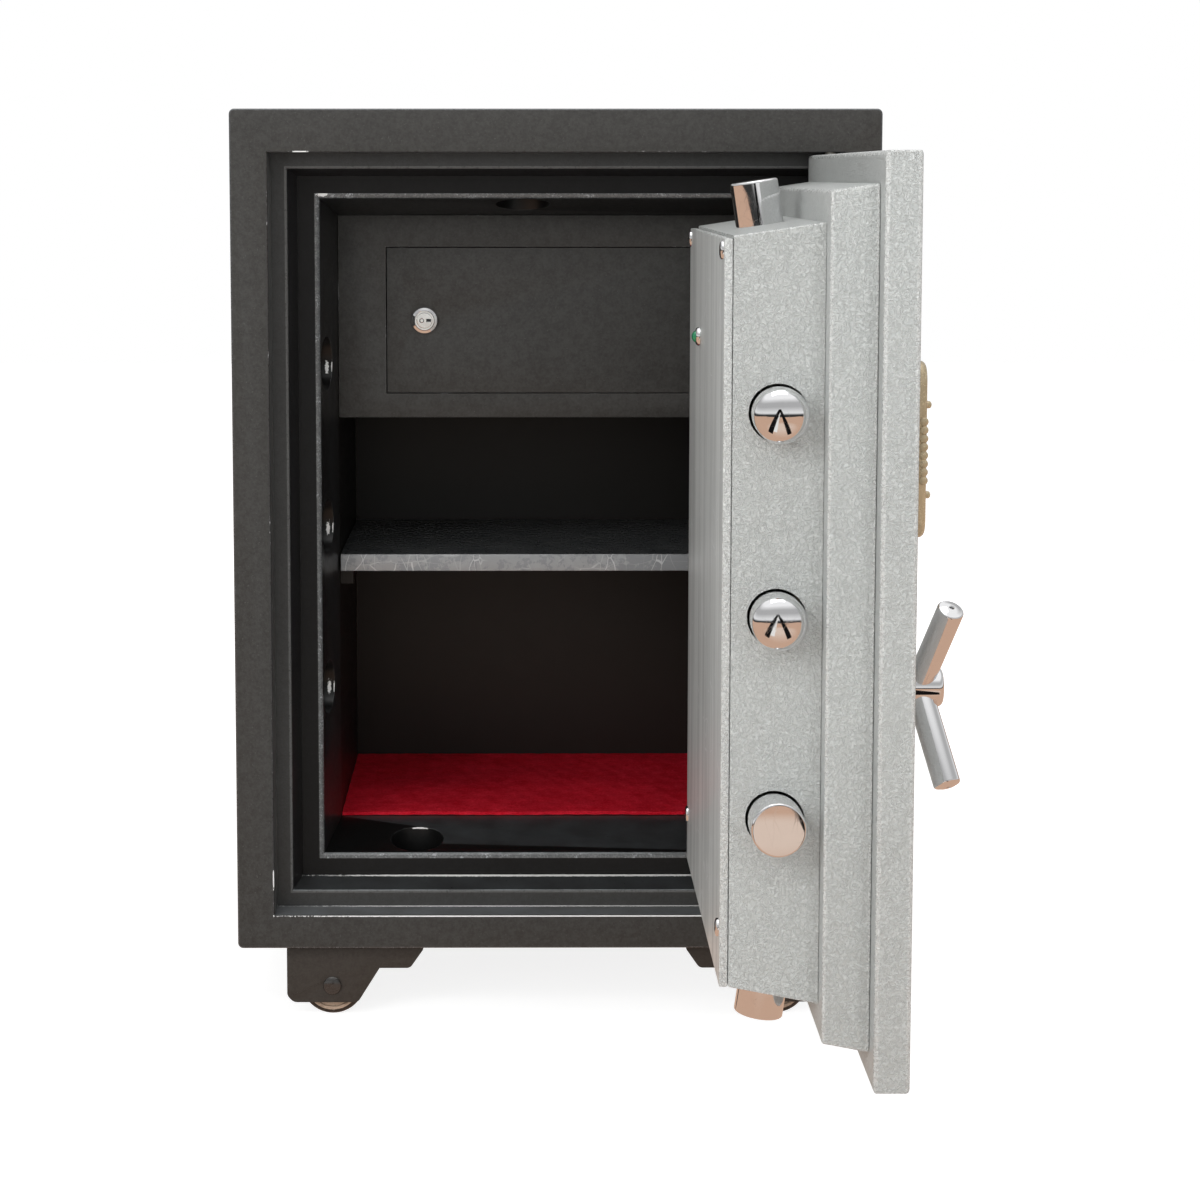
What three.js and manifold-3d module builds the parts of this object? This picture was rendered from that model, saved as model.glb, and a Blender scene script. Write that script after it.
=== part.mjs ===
// A free-standing fire safe: a filled steel cabinet on four fixed castors, a stepped and tapered
// plug door that swings about two pivot pins, a rotary bolt gear behind the door's cover plate,
// a locker with its own hinged door, one shelf and a felt mat.
// Millimetres, +Z up, X across the doorway, the doorway facing -Y.
// The origin is the centre of the cabinet's underside.

import * as THREE from 'three';
import { mergeVertices } from 'three/addons/utils/BufferGeometryUtils.js';
import Module from 'manifold-3d';

const wasm = await Module();
wasm.setup();

// Clearances and shared finishing sizes
const seatGap = 0.3;
const runningGap = 0.3;
const cutOverrun = 5;
const fineSides = 32;
const plainSides = 20;
const smallSides = 12;
const tinySides = 8;

// Cabinet
const cabinetWidth = 480;
const cabinetHeight = 631;
const cabinetDepth = 430;
const skinThickness = 3;
const cornerRadius = 4;
const cornerSteps = 4;
const skinBevel = 1.2;
const crownHeight = 3;
const crownMargin = 7;
const crownSteps = 8;
const rimSteps = 2;

// Doorway, from the cabinet's face inwards
const borderSide = 27.75;
const borderTop = 31.8;
const borderBottom = 25.2;
const recessDepth = 28.8;
const outerLedgeWidth = 11.6;
const stepDepth = 25.5;
const stepTaper = 5.9;
const innerLedgeWidth = 13.5;
const lipBevel = 3;
const revealDepth = 68.1;

// Inner cavity and its liner
const cavityWidth = 338;
const cavityHeight = 479;
const cavityDepth = 219.6;
const linerThickness = 2;

// Shelf, its rails and the felt mat
const shelfThickness = 13.4;
const shelfSheet = 2;
const shelfUndersideHeight = 198.4;
const shelfSideGap = 1;
const shelfOverhang = 4.4;
const shelfRearGap = 8;
const railWidth = 10;
const railHeight = 12;
const railEndGap = 12;
const matThickness = 3;
const matEdgeGap = 0.6;

// Locker at the top of the cavity
const lockerHeight = 159;
const lockerSheet = 2;
const lockerFrontThickness = 12;
const lockerPanelSideInset = 38.5;
const lockerPanelHeight = 113.6;
const lockerPanelDrop = 25.8;
const lockerPanelGap = 0.8;
const lockerPanelSheet = 2;
const lockerReturnDepth = 12;
const lockerReturnHingeGap = 12;
const lockerKnuckleRadius = 2;
const lockerPinRadius = 1;
const lockerPinSeat = 6;

// Cam lock of the locker
const lockInset = 29.4;
const lockFlangeRadius = 11;
const lockFlangeThickness = 3;
const lockFlangeChamfer = 0.8;
const lockBarrelRadius = 9;
const lockBarrelLength = 12.4;
const lockPlugRadius = 6;
const keySlotLength = 8;
const keySlotWidth = 1.8;
const keySlotDepth = 4;
const camReach = 36.5;
const camWidth = 14;
const camThickness = 2.5;
const camScrewRadius = 4;
const camScrewHeight = 3;

// Door plate, the stepped plug behind it and the bolt box, from the outer face inwards
const doorClearance = 2.25;
const plateThickness = 22.4;
const plateBevel = 1.6;
const plugInset = 19.3;
const plugThickness = 29;
const plugTaper = 4.2;
const boxInset = 42.8;
const boxDepth = 55.5;
const boxTaper = 8.3;
const boxWall = 2.5;
const coverThickness = 5.7;
const coverScrewInset = 9;
const coverScrewLowInset = 36;
const coverScrewRadius = 5.8;
const coverScrewHeight = 2.4;
const coverScrewCrownShare = 0.7;
const coverScrewRimShare = 0.33;

// Pivot pins of the door
const pivotInset = 7.5;
const pivotDepth = 7.1;
const pivotRadius = 3.8;
const pivotReach = 14;
const doorOpenAngle = Math.PI / 2;

// Bolts
const boltRadius = 17;
const boltThrow = 29;
const boltProud = 29.5;
const boltHoleClearance = 1.15;
const boltPitch = 126;
const boltRounding = 6;
const boltChamfer = 2;
const roundingSteps = 4;
const socketRadius = 21;
const socketMargin = 7;
const topBoltOffset = 24;
const bottomBoltOffset = 107;
const endBoltRadius = 15.7;
const endBoltTail = 12;
const stemRadius = 4;
const stemHeadRadius = 7;
const stemHeadHeight = 3;

// Rotary bolt gear
const handleInset = 90;
const handleDrop = 51;
const gearTurn = Math.PI / 3;
const spindleRadius = 7;
const spindleSeat = 8;
const discRadius = 36;
const discThickness = 4;
const discFloorGap = 0.6;
const crankPinRadius = 3;
const crankPinGap = 0.7;
const linkThickness = 2.5;
const linkWidth = 14;
const linkElbowDrop = 56;
const linkFlangeDepth = 26;
const slotMargin = 3.5;
const barThickness = 3;
const barMargin = 14;
const barPlateWidth = 46;
const barFlangeHeight = 30;

// Handle
const hubRadius = 12.5;
const hubProud = 29.5;
const hubChamfer = 1.5;
const spokeRadius = 8.5;
const spokeLength = 67.5;
const spokeRootRise = 14.5;
const spokeTipRise = 30;
const spokeChamfer = 1.5;
const spokeCentreHoleRadius = 2;
const spokeCentreHoleDepth = 2.5;
const spokeFirstAngle = 58.5 * Math.PI / 180;
const spokeCount = 3;

// Keypad
const keypadWidth = 98;
const keypadHeight = 110;
const keypadThickness = 14;
const keypadRounding = 12;
const keypadEdgeBevel = 3;
const keypadEdgeInset = 64;
const keypadRise = 101;
const gripPitch = 5.2;
const gripCount = 8;
const gripRadius = 2.9;
const gripTipShare = 0.6;
const gripTipRiseShare = 0.5;
const pipRadius = 2.3;
const pipProud = 3.6;
const pipShoulderShare = 0.33;
const pipSpread = 28;
const pipInset = 9;
const keyWidth = 17;
const keyHeight = 10;
const keyPitchAcross = 22;
const keyPitchUp = 15.5;
const keyProud = 2;
const keySeatDepth = 5;
const keyStroke = 1.5;
const keyChamfer = 0.8;
const keyGap = 0.4;
const keyBlockShift = 5;
const keyColumns = 3;
const keyRows = 4;

// Battery change button on the cover plate
const buttonOffset = 48;
const buttonRise = 160.3;
const buttonRadius = 4;
const buttonProud = 5;
const buttonSeatDepth = 3;
const buttonShoulderShare = 0.8;
const buttonCrownShare = 0.4;
const buttonDomeShare = 0.5;
const bezelRadius = 6.4;
const bezelProud = 3;

// Castors
const bracketSetIn = 35.8;
const bracketFaceInset = 12;
const bracketPlate = 3;
const bracketInside = 30;
const bracketLength = 104;
const bracketDrop = 45.5;
const bracketFootLength = 54;
const bracketNotchStart = 70.6;
const bracketNotchEnd = 93.9;
const bracketNotchDrop = 18.8;
const bracketTipDrop = 4.3;
const bracketCornerCut = 5;
const wheelRadius = 24.3;
const wheelWidth = 25;
const wheelRimBevel = 3;
const wheelFaceRadius = 18;
const wheelFaceDish = 1.5;
const wheelBoreGap = 0.3;
const axleDrop = 32.5;
const axleOffset = 34.5;
const axleRadius = 4;
const axleHeadRadius = 6.9;
const axleHeadHeight = 3.2;
const axleHeadRimShare = 0.33;
const axleHeadShoulderShare = 0.75;
const axleHeadShoulderRiseShare = 0.8;
const axleHeadCrownShare = 0.3;

// Places that the sizes above fix
const faceY = -cabinetDepth / 2;
const atDepth = (depth) => faceY + depth;
const recessHalfWidth = cabinetWidth / 2 - borderSide;
const recessHalfHeight = (cabinetHeight - borderTop - borderBottom) / 2;
const doorCentreZ = borderBottom + recessHalfHeight;
const stepStart = recessDepth;
const revealStart = recessDepth + stepDepth;
const cavityStart = revealStart + revealDepth;
const cavityEnd = cavityStart + cavityDepth;
const cavityFloorZ = doorCentreZ - cavityHeight / 2;
const cavityTopZ = doorCentreZ + cavityHeight / 2;
const stepInset = outerLedgeWidth + stepTaper;
const lipInset = stepInset + innerLedgeWidth;
const plateHalfWidth = recessHalfWidth - doorClearance;
const plateHalfHeight = recessHalfHeight - doorClearance;
const boxStart = plateThickness + plugThickness;
const boxEnd = boxStart + boxDepth;
const coverEnd = boxEnd + coverThickness;
const boxSlope = Math.atan2(boxTaper, boxDepth);
const pivotX = plateHalfWidth - pivotInset;
const handleX = handleInset - plateHalfWidth;
const handleZ = doorCentreZ - handleDrop;
const boltLineDepth = boxStart + boxDepth / 2;

// Finishes
const finish = (color, roughness, metalness) =>
  new THREE.MeshStandardMaterial({ color, roughness, metalness });
const charcoalPaint = () => finish(0x403f3c, 0.55, 0.2);
const blackPaint = () => finish(0x1c1c1b, 0.6, 0.1);
const hammeredPaint = () => finish(0xb9bcb9, 0.45, 0.4);
const satinSteel = () => finish(0xa9abaa, 0.35, 0.9);
const chromePlate = () => finish(0xd8d8da, 0.1, 1);
const zincSteel = () => finish(0x9a9a96, 0.45, 0.9);
const goldPlastic = () => finish(0xbfae8c, 0.4, 0.3);
const darkRubber = () => finish(0x2b2825, 0.8, 0);
const redFelt = () => finish(0x960f19, 0.95, 0);
const greenPlastic = () => finish(0x12845a, 0.3, 0);
const fireFilling = () => finish(0xb5b0a6, 0.95, 0);

// Solids and their joins and cuts
const up = new THREE.Vector3(0, 1, 0);
const point = (x, y, z) => new THREE.Vector3(x, y, z);

function solid(geometry) {
  const bare = geometry.clone();
  bare.deleteAttribute('normal');
  bare.deleteAttribute('uv');
  const merged = mergeVertices(bare);
  return new wasm.Manifold(new wasm.Mesh({
    numProp: 3,
    vertProperties: merged.attributes.position.array,
    triVerts: new Uint32Array(merged.index.array),
  }));
}

function geometryOf(body) {
  const mesh = body.getMesh();
  const geometry = new THREE.BufferGeometry();
  geometry.setAttribute('position', new THREE.BufferAttribute(mesh.vertProperties, mesh.numProp));
  geometry.setIndex(new THREE.BufferAttribute(mesh.triVerts, 1));
  geometry.computeVertexNormals();
  return geometry;
}

const join = (...geometries) => geometries.map(solid).reduce((all, next) => all.add(next));
const cut = (body, ...geometries) => geometries.reduce((left, tool) => left.subtract(solid(tool)), body);

// A box between two opposite corners
function block(low, high) {
  const size = high.clone().sub(low);
  const centre = low.clone().add(high).multiplyScalar(0.5);
  return new THREE.BoxGeometry(size.x, size.y, size.z).translate(centre.x, centre.y, centre.z);
}

// A block whose front and back rectangles differ, each as half sizes at its own place along Y
function taperedBlock(front, back) {
  const shape = new THREE.BoxGeometry(1, 1, 1);
  const corners = shape.attributes.position;
  for (let i = 0; i < corners.count; i += 1) {
    const end = corners.getY(i) < 0 ? front : back;
    const x = Math.sign(corners.getX(i)) * end.halfWidth;
    const z = doorCentreZ + Math.sign(corners.getZ(i)) * end.halfHeight;
    corners.setXYZ(i, x, end.y, z);
  }
  return shape;
}

// The same taper carried on past one end, for a cut that has to break through
function carriedOn(from, to, length) {
  const share = length / Math.abs(to.y - from.y);
  return {
    halfWidth: to.halfWidth + (to.halfWidth - from.halfWidth) * share,
    halfHeight: to.halfHeight + (to.halfHeight - from.halfHeight) * share,
    y: to.y + (to.y - from.y) * share,
  };
}

// A round bar between two points
function rod(radius, from, to, sides) {
  const along = to.clone().sub(from);
  const centre = from.clone().add(to).multiplyScalar(0.5);
  const turn = new THREE.Quaternion().setFromUnitVectors(up, along.clone().normalize());
  return new THREE.CylinderGeometry(radius, radius, along.length(), sides)
    .applyQuaternion(turn)
    .translate(centre.x, centre.y, centre.z);
}

// A turned piece: pairs of radius and height above its base, along a direction
function turned(profile, base, direction, sides) {
  const points = profile.map(([radius, height]) => new THREE.Vector2(radius, height));
  const turn = new THREE.Quaternion().setFromUnitVectors(up, direction.clone().normalize());
  return new THREE.LatheGeometry(points, sides)
    .applyQuaternion(turn)
    .translate(base.x, base.y, base.z);
}

// An outline in X and Z, thickened from one depth to another
function profileAlongY(outline, fromY, toY, holes = []) {
  const shape = new THREE.Shape(outline.map(([x, z]) => new THREE.Vector2(x, z)));
  shape.holes = holes;
  return new THREE.ExtrudeGeometry(shape, { depth: toY - fromY, bevelEnabled: false })
    .rotateX(Math.PI / 2)
    .translate(0, toY, 0);
}

// A rectangle with round corners in X and Z
function roundedRectangle(halfWidth, halfHeight, centreX, centreZ, radius) {
  const shape = new THREE.Shape();
  const left = centreX - halfWidth;
  const right = centreX + halfWidth;
  const low = centreZ - halfHeight;
  const high = centreZ + halfHeight;
  const quarter = Math.PI / 2;
  shape.absarc(right - radius, low + radius, radius, -quarter, 0);
  shape.absarc(right - radius, high - radius, radius, 0, quarter);
  shape.absarc(left + radius, high - radius, radius, quarter, Math.PI);
  shape.absarc(left + radius, low + radius, radius, Math.PI, Math.PI + quarter);
  return shape;
}

// A slab with bevelled rims between two places along Y
function bevelledSlab(shape, fromY, toY, bevel, steps, arcSteps) {
  return new THREE.ExtrudeGeometry(shape, {
    depth: toY - fromY - 2 * bevel,
    curveSegments: arcSteps,
    bevelEnabled: true,
    bevelThickness: bevel,
    bevelSize: bevel,
    bevelOffset: -bevel,
    bevelSegments: steps,
  })
    .rotateX(Math.PI / 2)
    .translate(0, toY - bevel, 0);
}

const meshes = [];

function piece(name, shape, material) {
  const geometry = shape.isBufferGeometry ? shape : geometryOf(shape);
  const mesh = new THREE.Mesh(geometry, material);
  mesh.name = name;
  meshes.push(mesh);
  return mesh;
}

// The cabinet's skin: one folded shell with a crowned top, open at the doorway
const recessLevel = (inset, depth) => ({
  halfWidth: recessHalfWidth - inset,
  halfHeight: recessHalfHeight - inset,
  y: atDepth(depth),
});

function crownBulge(halfLength, acrossHalf, alongX) {
  const outline = [];
  for (let i = 0; i <= crownSteps; i += 1) {
    const share = 2 * i / crownSteps - 1;
    outline.push([share * halfLength, cabinetHeight + crownHeight * (1 - share * share)]);
  }
  const base = cabinetHeight - skinThickness / 2;
  outline.push([halfLength, base], [-halfLength, base]);
  const bulge = profileAlongY(outline, -acrossHalf, acrossHalf);
  return alongX ? bulge : bulge.rotateZ(Math.PI / 2);
}

function cabinetSkin() {
  const outline = roundedRectangle(cabinetWidth / 2, cabinetHeight / 2, 0, cabinetHeight / 2, cornerRadius);
  const outer = bevelledSlab(outline, faceY, -faceY, skinBevel, rimSteps, cornerSteps);
  const halfAcross = cabinetWidth / 2 - crownMargin;
  const halfAlong = cabinetDepth / 2 - crownMargin;
  const crown = solid(crownBulge(halfAcross, halfAlong, true))
    .intersect(solid(crownBulge(halfAlong, halfAcross, false)));
  const inside = block(
    point(skinThickness - cabinetWidth / 2, faceY + skinThickness, skinThickness),
    point(cabinetWidth / 2 - skinThickness, -faceY - skinThickness, cabinetHeight - skinThickness),
  );
  const doorway = taperedBlock(recessLevel(0, -cutOverrun), recessLevel(0, cutOverrun));
  return cut(solid(outer).add(crown), inside, doorway);
}

// Rings that step the doorway down, each filling the skin behind the one in front
const ringOutside = {
  halfWidth: cabinetWidth / 2 - skinThickness - seatGap,
  low: skinThickness + seatGap,
  high: cabinetHeight - skinThickness - seatGap,
};

function ringBlank(fromDepth, toDepth) {
  return block(
    point(-ringOutside.halfWidth, atDepth(fromDepth), ringOutside.low),
    point(ringOutside.halfWidth, atDepth(toDepth), ringOutside.high),
  );
}

function taperedOpening(front, back) {
  return taperedBlock(carriedOn(back, front, cutOverrun), carriedOn(front, back, cutOverrun));
}

function pivotBore(z, side, radius) {
  const root = point(pivotX, atDepth(pivotDepth), z - side * cutOverrun);
  const tip = point(pivotX, atDepth(pivotDepth), z + side * (pivotReach + seatGap));
  return rod(radius, root, tip, plainSides);
}

function frontFrame() {
  const blank = solid(ringBlank(skinThickness + seatGap, recessDepth));
  const opening = taperedOpening(recessLevel(0, 0), recessLevel(0, recessDepth));
  const radius = pivotRadius + seatGap;
  return cut(
    blank,
    opening,
    pivotBore(doorCentreZ + recessHalfHeight, 1, radius),
    pivotBore(doorCentreZ - recessHalfHeight, -1, radius),
  );
}

function outerJambRing() {
  const blank = solid(ringBlank(stepStart + seatGap, revealStart));
  const opening = taperedOpening(
    recessLevel(outerLedgeWidth, stepStart),
    recessLevel(stepInset, revealStart),
  );
  return cut(blank, opening);
}

const cavityMouth = {
  halfWidth: cavityWidth / 2,
  halfHeight: cavityHeight / 2,
  y: atDepth(cavityStart),
};
const lipFront = recessLevel(lipInset, revealStart);
const lipBack = recessLevel(lipInset + lipBevel, revealStart + lipBevel);

// Half sizes of the tapered reveal at the bolts' depth
const revealShare = (boltLineDepth - revealStart - lipBevel) / (revealDepth - lipBevel);
const revealHalfWidth = THREE.MathUtils.lerp(lipBack.halfWidth, cavityMouth.halfWidth, revealShare);
const revealHalfHeight = THREE.MathUtils.lerp(lipBack.halfHeight, cavityMouth.halfHeight, revealShare);

// Half sizes of the tapered bolt box at the bolts' depth
const boxHalfWidth = plateHalfWidth - boxInset - boxTaper / 2;
const boxHalfHeight = plateHalfHeight - boxInset - boxTaper / 2;
const sideBoltTip = boxHalfWidth + boltProud;
const endBoltTip = boxHalfHeight + boltProud * Math.cos(boxSlope);
const endBoltLean = (endBoltTip - boxHalfHeight) * Math.tan(boxSlope) / 2;

function socket(from, along, length) {
  const start = from.clone().addScaledVector(along, -cutOverrun);
  const end = from.clone().addScaledVector(along, length);
  return rod(socketRadius, start, end, fineSides);
}

function innerJambRing() {
  const blank = solid(ringBlank(revealStart + seatGap, cavityStart));
  const lip = taperedBlock(carriedOn(lipBack, lipFront, cutOverrun), lipBack);
  const reveal = taperedOpening(lipBack, cavityMouth);
  const sideDepth = sideBoltTip - revealHalfWidth + socketMargin;
  const endDepth = endBoltTip - revealHalfHeight + socketMargin;
  const sockets = sideBoltHeights.map((z) =>
    socket(point(-revealHalfWidth, atDepth(boltLineDepth), z), point(-1, 0, 0), sideDepth));
  const endY = atDepth(boltLineDepth + endBoltLean);
  const topZ = doorCentreZ + revealHalfHeight;
  const bottomZ = doorCentreZ - revealHalfHeight;
  sockets.push(socket(point(-topBoltOffset, endY, topZ), point(0, 0, 1), endDepth));
  sockets.push(socket(point(-bottomBoltOffset, endY, bottomZ), point(0, 0, -1), endDepth));
  return cut(blank, lip, reveal, ...sockets);
}

const sideBoltHeights = [1, 0, -1].map((step) => doorCentreZ + step * boltPitch);

// The liner: a pressed steel box with a rail for the shelf along each side
function innerLiner() {
  const outer = block(
    point(-cavityWidth / 2 - linerThickness, atDepth(cavityStart + seatGap), cavityFloorZ - linerThickness),
    point(cavityWidth / 2 + linerThickness, atDepth(cavityEnd + linerThickness), cavityTopZ + linerThickness),
  );
  const inside = block(
    point(-cavityWidth / 2, atDepth(cavityStart - cutOverrun), cavityFloorZ),
    point(cavityWidth / 2, atDepth(cavityEnd), cavityTopZ),
  );
  const railTop = cavityFloorZ + shelfUndersideHeight - seatGap;
  const rails = [-1, 1].map((side) => {
    const wall = side * (cavityWidth / 2 + linerThickness / 2);
    const edge = side * (cavityWidth / 2 - railWidth);
    return block(
      point(Math.min(wall, edge), atDepth(cavityStart + railEndGap), railTop - railHeight),
      point(Math.max(wall, edge), atDepth(cavityEnd - railEndGap), railTop),
    );
  });
  return rails.reduce((body, rail) => body.add(solid(rail)), cut(solid(outer), inside));
}

// The fire filling behind the rings and round the liner
function fireFillingBlock() {
  const blank = ringBlank(cavityStart + seatGap, cabinetDepth - skinThickness - seatGap);
  const margin = linerThickness + seatGap;
  const pocket = block(
    point(-cavityWidth / 2 - margin, atDepth(cavityStart - cutOverrun), cavityFloorZ - margin),
    point(cavityWidth / 2 + margin, atDepth(cavityEnd + margin), cavityTopZ + margin),
  );
  return cut(solid(blank), pocket);
}

// The shelf: a folded tray, open below, on the liner's rails
function shelfTray() {
  const halfWidth = cavityWidth / 2 - shelfSideGap;
  const front = atDepth(cavityStart - shelfOverhang);
  const back = atDepth(cavityEnd - shelfRearGap);
  const low = cavityFloorZ + shelfUndersideHeight;
  const outer = block(point(-halfWidth, front, low), point(halfWidth, back, low + shelfThickness));
  const under = block(
    point(shelfSheet - halfWidth, front + shelfSheet, low - cutOverrun),
    point(halfWidth - shelfSheet, back - shelfSheet, low + shelfThickness - shelfSheet),
  );
  return cut(solid(outer), under);
}

function feltMat() {
  const halfWidth = cavityWidth / 2 - matEdgeGap;
  const low = cavityFloorZ + seatGap;
  return block(
    point(-halfWidth, atDepth(cavityStart + matEdgeGap), low),
    point(halfWidth, atDepth(cavityEnd - matEdgeGap), low + matThickness),
  );
}

// Locker: a sheet housing with a framed front, and a panel hinged at its right edge
const lockerPanelWidth = cavityWidth - 2 * lockerPanelSideInset;
const lockerTopZ = cavityTopZ - seatGap;
const lockerFloorZ = cavityTopZ - lockerHeight;
const lockerFrontY = atDepth(cavityStart + 2 * seatGap);
const lockerBackY = atDepth(cavityEnd - seatGap);
const panelTopZ = cavityTopZ - lockerPanelDrop;
const panelLowZ = panelTopZ - lockerPanelHeight;
const lockerAxisX = lockerPanelWidth / 2 - lockerKnuckleRadius;
const lockerAxisY = lockerFrontY + lockerKnuckleRadius;

function lockerPin(gap) {
  const low = panelLowZ - lockerPanelGap - lockerPinSeat;
  const high = panelTopZ + lockerPanelGap + lockerPinSeat;
  return rod(
    lockerPinRadius + gap,
    point(lockerAxisX, lockerAxisY, low - gap),
    point(lockerAxisX, lockerAxisY, high + gap),
    smallSides,
  );
}

function lockerHousing() {
  const halfWidth = cavityWidth / 2 - seatGap;
  const outer = block(
    point(-halfWidth, lockerFrontY, lockerFloorZ),
    point(halfWidth, lockerBackY, lockerTopZ),
  );
  const inside = block(
    point(lockerSheet - halfWidth, lockerFrontY + lockerFrontThickness, lockerFloorZ + lockerSheet),
    point(halfWidth - lockerSheet, lockerBackY - lockerSheet, lockerTopZ - lockerSheet),
  );
  const opening = block(
    point(-lockerPanelWidth / 2 - lockerPanelGap, lockerFrontY - cutOverrun, panelLowZ - lockerPanelGap),
    point(
      lockerPanelWidth / 2 + lockerPanelGap,
      lockerFrontY + lockerFrontThickness + cutOverrun,
      panelTopZ + lockerPanelGap,
    ),
  );
  return cut(solid(outer), inside, opening, lockerPin(runningGap));
}

const lockX = lockInset - lockerPanelWidth / 2;
const lockZ = (panelLowZ + panelTopZ) / 2;

function lockerPanel() {
  const left = -lockerPanelWidth / 2;
  const sheet = block(
    point(left, lockerFrontY, panelLowZ),
    point(lockerAxisX, lockerFrontY + lockerPanelSheet, panelTopZ),
  );
  const knuckle = rod(
    lockerKnuckleRadius,
    point(lockerAxisX, lockerAxisY, panelLowZ),
    point(lockerAxisX, lockerAxisY, panelTopZ),
    plainSides,
  );
  const returnBack = lockerFrontY + lockerReturnDepth;
  const returnEnd = lockerAxisX - lockerReturnHingeGap;
  const leftReturn = block(
    point(left, lockerFrontY, panelLowZ),
    point(left + lockerPanelSheet, returnBack, panelTopZ),
  );
  const lowReturn = block(
    point(left, lockerFrontY, panelLowZ),
    point(returnEnd, returnBack, panelLowZ + lockerPanelSheet),
  );
  const topReturn = block(
    point(left, lockerFrontY, panelTopZ - lockerPanelSheet),
    point(returnEnd, returnBack, panelTopZ),
  );
  const lockHole = rod(
    lockBarrelRadius + seatGap,
    point(lockX, lockerFrontY - cutOverrun, lockZ),
    point(lockX, lockerFrontY + cutOverrun, lockZ),
    plainSides,
  );
  const body = join(sheet, knuckle, leftReturn, lowReturn, topReturn);
  return cut(body, lockerPin(runningGap), lockHole);
}

// Cam lock: a flanged barrel, and a plug that carries the cam behind it
const lockFaceY = lockerFrontY - seatGap - lockFlangeThickness;
const inward = point(0, 1, 0);

function lockBarrel() {
  const total = lockFlangeThickness + seatGap + lockBarrelLength;
  const body = turned([
    [0, 0],
    [lockFlangeRadius - lockFlangeChamfer, 0],
    [lockFlangeRadius, lockFlangeChamfer],
    [lockFlangeRadius, lockFlangeThickness],
    [lockBarrelRadius, lockFlangeThickness],
    [lockBarrelRadius, total],
    [0, total],
  ], point(lockX, lockFaceY, lockZ), inward, plainSides);
  const bore = rod(
    lockPlugRadius + runningGap,
    point(lockX, lockFaceY - cutOverrun, lockZ),
    point(lockX, lockFaceY + total + cutOverrun, lockZ),
    plainSides,
  );
  return cut(solid(body), bore);
}

function lockPlug() {
  const barrelEnd = lockFaceY + lockFlangeThickness + seatGap + lockBarrelLength;
  const camStart = barrelEnd + runningGap;
  const core = rod(lockPlugRadius, point(lockX, lockFaceY, lockZ), point(lockX, camStart, lockZ), plainSides);
  const slot = block(
    point(lockX - keySlotLength / 2, lockFaceY - cutOverrun, lockZ - keySlotWidth / 2),
    point(lockX + keySlotLength / 2, lockFaceY + keySlotDepth, lockZ + keySlotWidth / 2),
  );
  return cut(solid(core), slot);
}

function lockCam() {
  const start = lockFaceY + lockFlangeThickness + seatGap + lockBarrelLength + runningGap + seatGap;
  const end = start + camThickness;
  const arm = block(
    point(lockX - camWidth / 2, start, lockZ - camReach),
    point(lockX + camWidth / 2, end, lockZ),
  );
  const round = rod(camWidth / 2, point(lockX, start, lockZ), point(lockX, end, lockZ), plainSides);
  const screw = rod(
    camScrewRadius,
    point(lockX, end - camThickness / 2, lockZ),
    point(lockX, end + camScrewHeight, lockZ),
    smallSides,
  );
  return join(arm, round, screw);
}

// Door in its shut place, as half sizes at each depth
const doorLevel = (inset, depth) => ({
  halfWidth: plateHalfWidth - inset,
  halfHeight: plateHalfHeight - inset,
  y: atDepth(depth),
});

function spindleBore(fromDepth, toDepth) {
  return rod(
    spindleRadius + runningGap,
    point(handleX, atDepth(fromDepth - cutOverrun), handleZ),
    point(handleX, atDepth(toDepth + cutOverrun), handleZ),
    plainSides,
  );
}

function doorPlate() {
  const outline = new THREE.Shape([
    new THREE.Vector2(-plateHalfWidth, doorCentreZ - plateHalfHeight),
    new THREE.Vector2(plateHalfWidth, doorCentreZ - plateHalfHeight),
    new THREE.Vector2(plateHalfWidth, doorCentreZ + plateHalfHeight),
    new THREE.Vector2(-plateHalfWidth, doorCentreZ + plateHalfHeight),
  ]);
  const slab = bevelledSlab(outline, atDepth(0), atDepth(plateThickness), plateBevel, 1, 1);
  const radius = pivotRadius + runningGap;
  return cut(
    solid(slab),
    spindleBore(0, plateThickness),
    pivotBore(doorCentreZ + plateHalfHeight, -1, radius),
    pivotBore(doorCentreZ - plateHalfHeight, 1, radius),
  );
}

function doorPlug() {
  const shape = taperedBlock(
    doorLevel(plugInset, plateThickness + seatGap),
    doorLevel(plugInset + plugTaper, boxStart),
  );
  return cut(solid(shape), spindleBore(plateThickness, boxStart));
}

// The end bolts stand square to the tapered top and bottom of the box
const endBoltWay = (side) => point(0, Math.sin(boxSlope), side * Math.cos(boxSlope));
const endBoltRoot = (side) =>
  point(
    side > 0 ? -topBoltOffset : -bottomBoltOffset,
    atDepth(boltLineDepth),
    doorCentreZ + side * boxHalfHeight,
  );

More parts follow.
